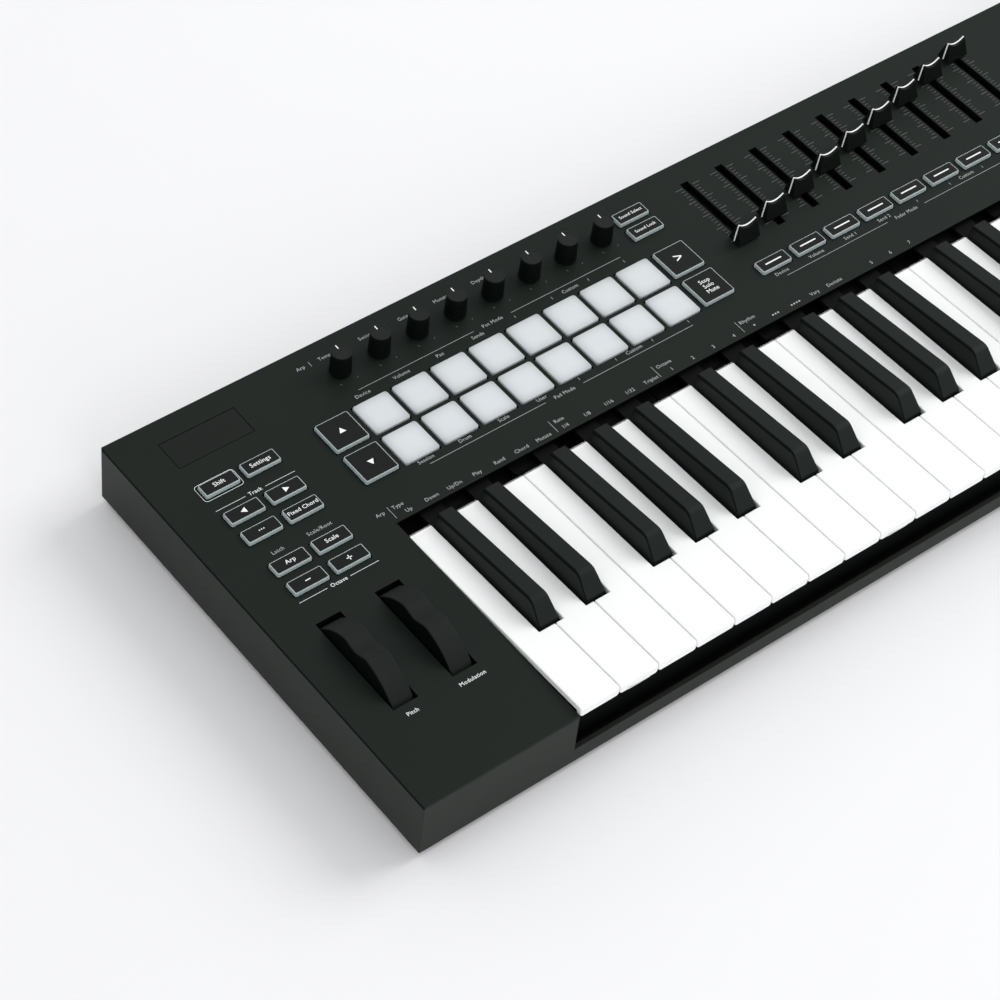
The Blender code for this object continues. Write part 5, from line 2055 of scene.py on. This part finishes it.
@dataclass
class RearSockets:
    """The three sockets in the rear wall: data, five-pin and pedal."""

    pins: int = 5
    pin_arc: float = 180.0
    pin_ring: float = 3.7 * MM
    pin: float = 0.8 * MM
    face_radius: float = 6.0 * MM
    face_sunk: float = 4.0 * MM
    depth: float = 9.5 * MM
    tongue_half: tuple[float, float] = (2.8 * MM, 1.6 * MM)
    tongue_sunk: float = 1.6 * MM
    strip_half: tuple[float, float] = (0.5 * MM, 0.12 * MM)
    strip_place: tuple[float, float] = (1.25 * MM, 1.68 * MM)
    strip_sunk: float = 2.4 * MM

    def shell(self, node: str, finish: Finish) -> None:
        """Softens a socket's body and dresses it.

        Args:
            node: The socket's CAD node.
            finish: Its finish.
        """
        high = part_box(node)[1]
        shell = Workpiece.from_node(node + "_shell", node)
        shell.edges(lambda place: place.y > high.y - 0.2 * MM, 40.0).bevel(0.22 * MM, 2)
        shell.fit("root", finish, "socket_plastic", (node,))

    def tongue(self) -> None:
        """Models the data socket's tongue with its four contacts."""
        low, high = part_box("usb_socket")
        centre = (low + high) / 2
        root = high.y - self.depth
        wide, tall = self.tongue_half
        tongue = Workpiece.block("usb_socket_tongue", (centre.x - wide, root, centre.z - tall),
                                 (centre.x + wide, high.y - self.tongue_sunk, centre.z + tall))
        tongue.edges(lambda place: place.y > root + NEAR, 40.0).bevel(0.35 * MM, 2)
        tongue.fit("root", SOCKET, "socket_plastic")
        strips = []
        wide, tall = self.strip_half
        across, up = self.strip_place
        for side in (-1, 1):
            for level in (-1, 1):
                x, z = centre.x + side * across, centre.z + level * up
                strip = Workpiece.block("strip", (x - wide, root, z - tall),
                                        (x + wide, high.y - self.strip_sunk, z + tall))
                strips.append(strip.edges(lambda place: place.y > root + NEAR, 40.0).bevel(0.08 * MM, 1))
        Workpiece.joined("usb_socket_contacts", strips).fit("root", CONTACT_METAL, "socket_plastic")

    def five_pin(self) -> None:
        """Models the five-pin socket's face with its holes."""
        low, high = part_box("midi_socket")
        centre = (low + high) / 2
        root, face = high.y - self.depth, high.y - self.face_sunk
        plug = Workpiece.rod("midi_socket_face", (centre.x, (root + face) / 2, centre.z), self.face_radius,
                             face - root, 40, Axis.Y)
        plug.edges(lambda place: place.y > face - NEAR, 40.0).bevel(0.3 * MM, 2)
        for index in range(self.pins):
            angle = math.radians(180.0 + index * self.pin_arc / (self.pins - 1))
            hole = Workpiece.rod("hole", (centre.x + self.pin_ring * math.cos(angle), face,
                                          centre.z - self.pin_ring * math.sin(angle)),
                                 self.pin, 6 * MM, 14, Axis.Y)
            plug.carve(hole)
        plug.fit("root", SOCKET, "socket_plastic")

    def build(self) -> None:
        """Builds the three sockets."""
        for node in ("usb_socket", "midi_socket", "pedal_socket"):
            self.shell(node, CONTACT_METAL if node == "usb_socket" else SOCKET)
        self.tongue()
        self.five_pin()


# Studio.


@dataclass
class Studio:
    """Pale floor, soft light and the camera."""

    place: tuple[float, float, float] = (-0.94817, -0.73014, 1.18703)
    right: tuple[float, float, float] = (0.78310, -0.61614, 0.08439)
    up: tuple[float, float, float] = (0.42375, 0.62798, 0.65274)
    lens: float = 113.74
    sky: float = 0.82
    lamps: tuple[tuple[str, tuple[float, float, float], float, float], ...] = (
        ("window_light", (3.3, -0.35, 2.8), 2.9, 92.0),
        ("fill_light", (-0.9, -3.0, 1.5), 2.2, 14.0))

    def floor(self) -> None:
        """Lays the floor, whose far edges turn up a little."""
        clear_selection()
        bpy.ops.mesh.primitive_grid_add(x_subdivisions=24, y_subdivisions=24, size=16.0)
        ground = Workpiece.taken_up("studio_floor")
        ground.points(lambda place: max(abs(place.x), abs(place.y)) > 7.0).move((0.0, 0.0, 0.6))
        clear_selection()
        ground.piece.data.materials.append(FLOOR.material())

    def light(self) -> None:
        """Hangs the soft lamps and sets the sky."""
        world = bpy.data.worlds.new("studio_sky")
        world.use_nodes = True
        sky = world.node_tree.nodes["Background"]
        sky.inputs["Color"].default_value = (0.985, 0.99, 1.0, 1.0)
        sky.inputs["Strength"].default_value = self.sky
        bpy.context.scene.world = world
        for name, place, size, power in self.lamps:
            clear_selection()
            bpy.ops.object.light_add(type="AREA", location=place)
            lamp = bpy.context.active_object
            lamp.name = name
            lamp.data.shape = "DISK"
            lamp.data.size = size
            lamp.data.energy = power
            lamp.rotation_euler = (-Vector(place)).to_track_quat("-Z", "Y").to_euler()

    def camera(self) -> None:
        """Sets up the camera."""
        clear_selection()
        bpy.ops.object.camera_add()
        eye = bpy.context.active_object
        right, up = Vector(self.right).normalized(), Vector(self.up).normalized()
        back = right.cross(up).normalized()
        up = back.cross(right)
        turn = Matrix((right, up, back)).transposed().to_4x4()
        eye.matrix_world = Matrix.Translation(self.place) @ turn
        eye.data.lens = self.lens
        eye.data.sensor_width = 36.0
        eye.data.clip_start = 0.05
        eye.data.clip_end = 60.0
        bpy.context.scene.camera = eye

    def build(self) -> None:
        """Builds the floor, the lights and the camera."""
        self.floor()
        self.light()
        self.camera()
        bpy.context.scene.view_settings.view_transform = "Standard"


def main() -> None:
    """Builds the instrument and the studio."""
    logging.basicConfig(level=logging.INFO, format="%(message)s")
    low = CAD_BOX[0]
    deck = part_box("top_case")[1].z
    datum = Datum(low.x, low.y, deck)
    CaseShell().build()
    Keyboard(datum).build()
    for node, print_on in BANKS.items():
        ButtonBank(node, deck, print_on).build()
    Pads(deck).build()
    Knobs(deck).build()
    Faders(deck).build()
    ThumbWheels().build()
    Display().build()
    Underneath().build()
    RearSockets().build()
    dress_node("control_board", BOARD)
    panel = PanelPrint(datum)
    panel.build()
    panel.scales()
    Studio().build()


if __name__ == "__main__":
    main()
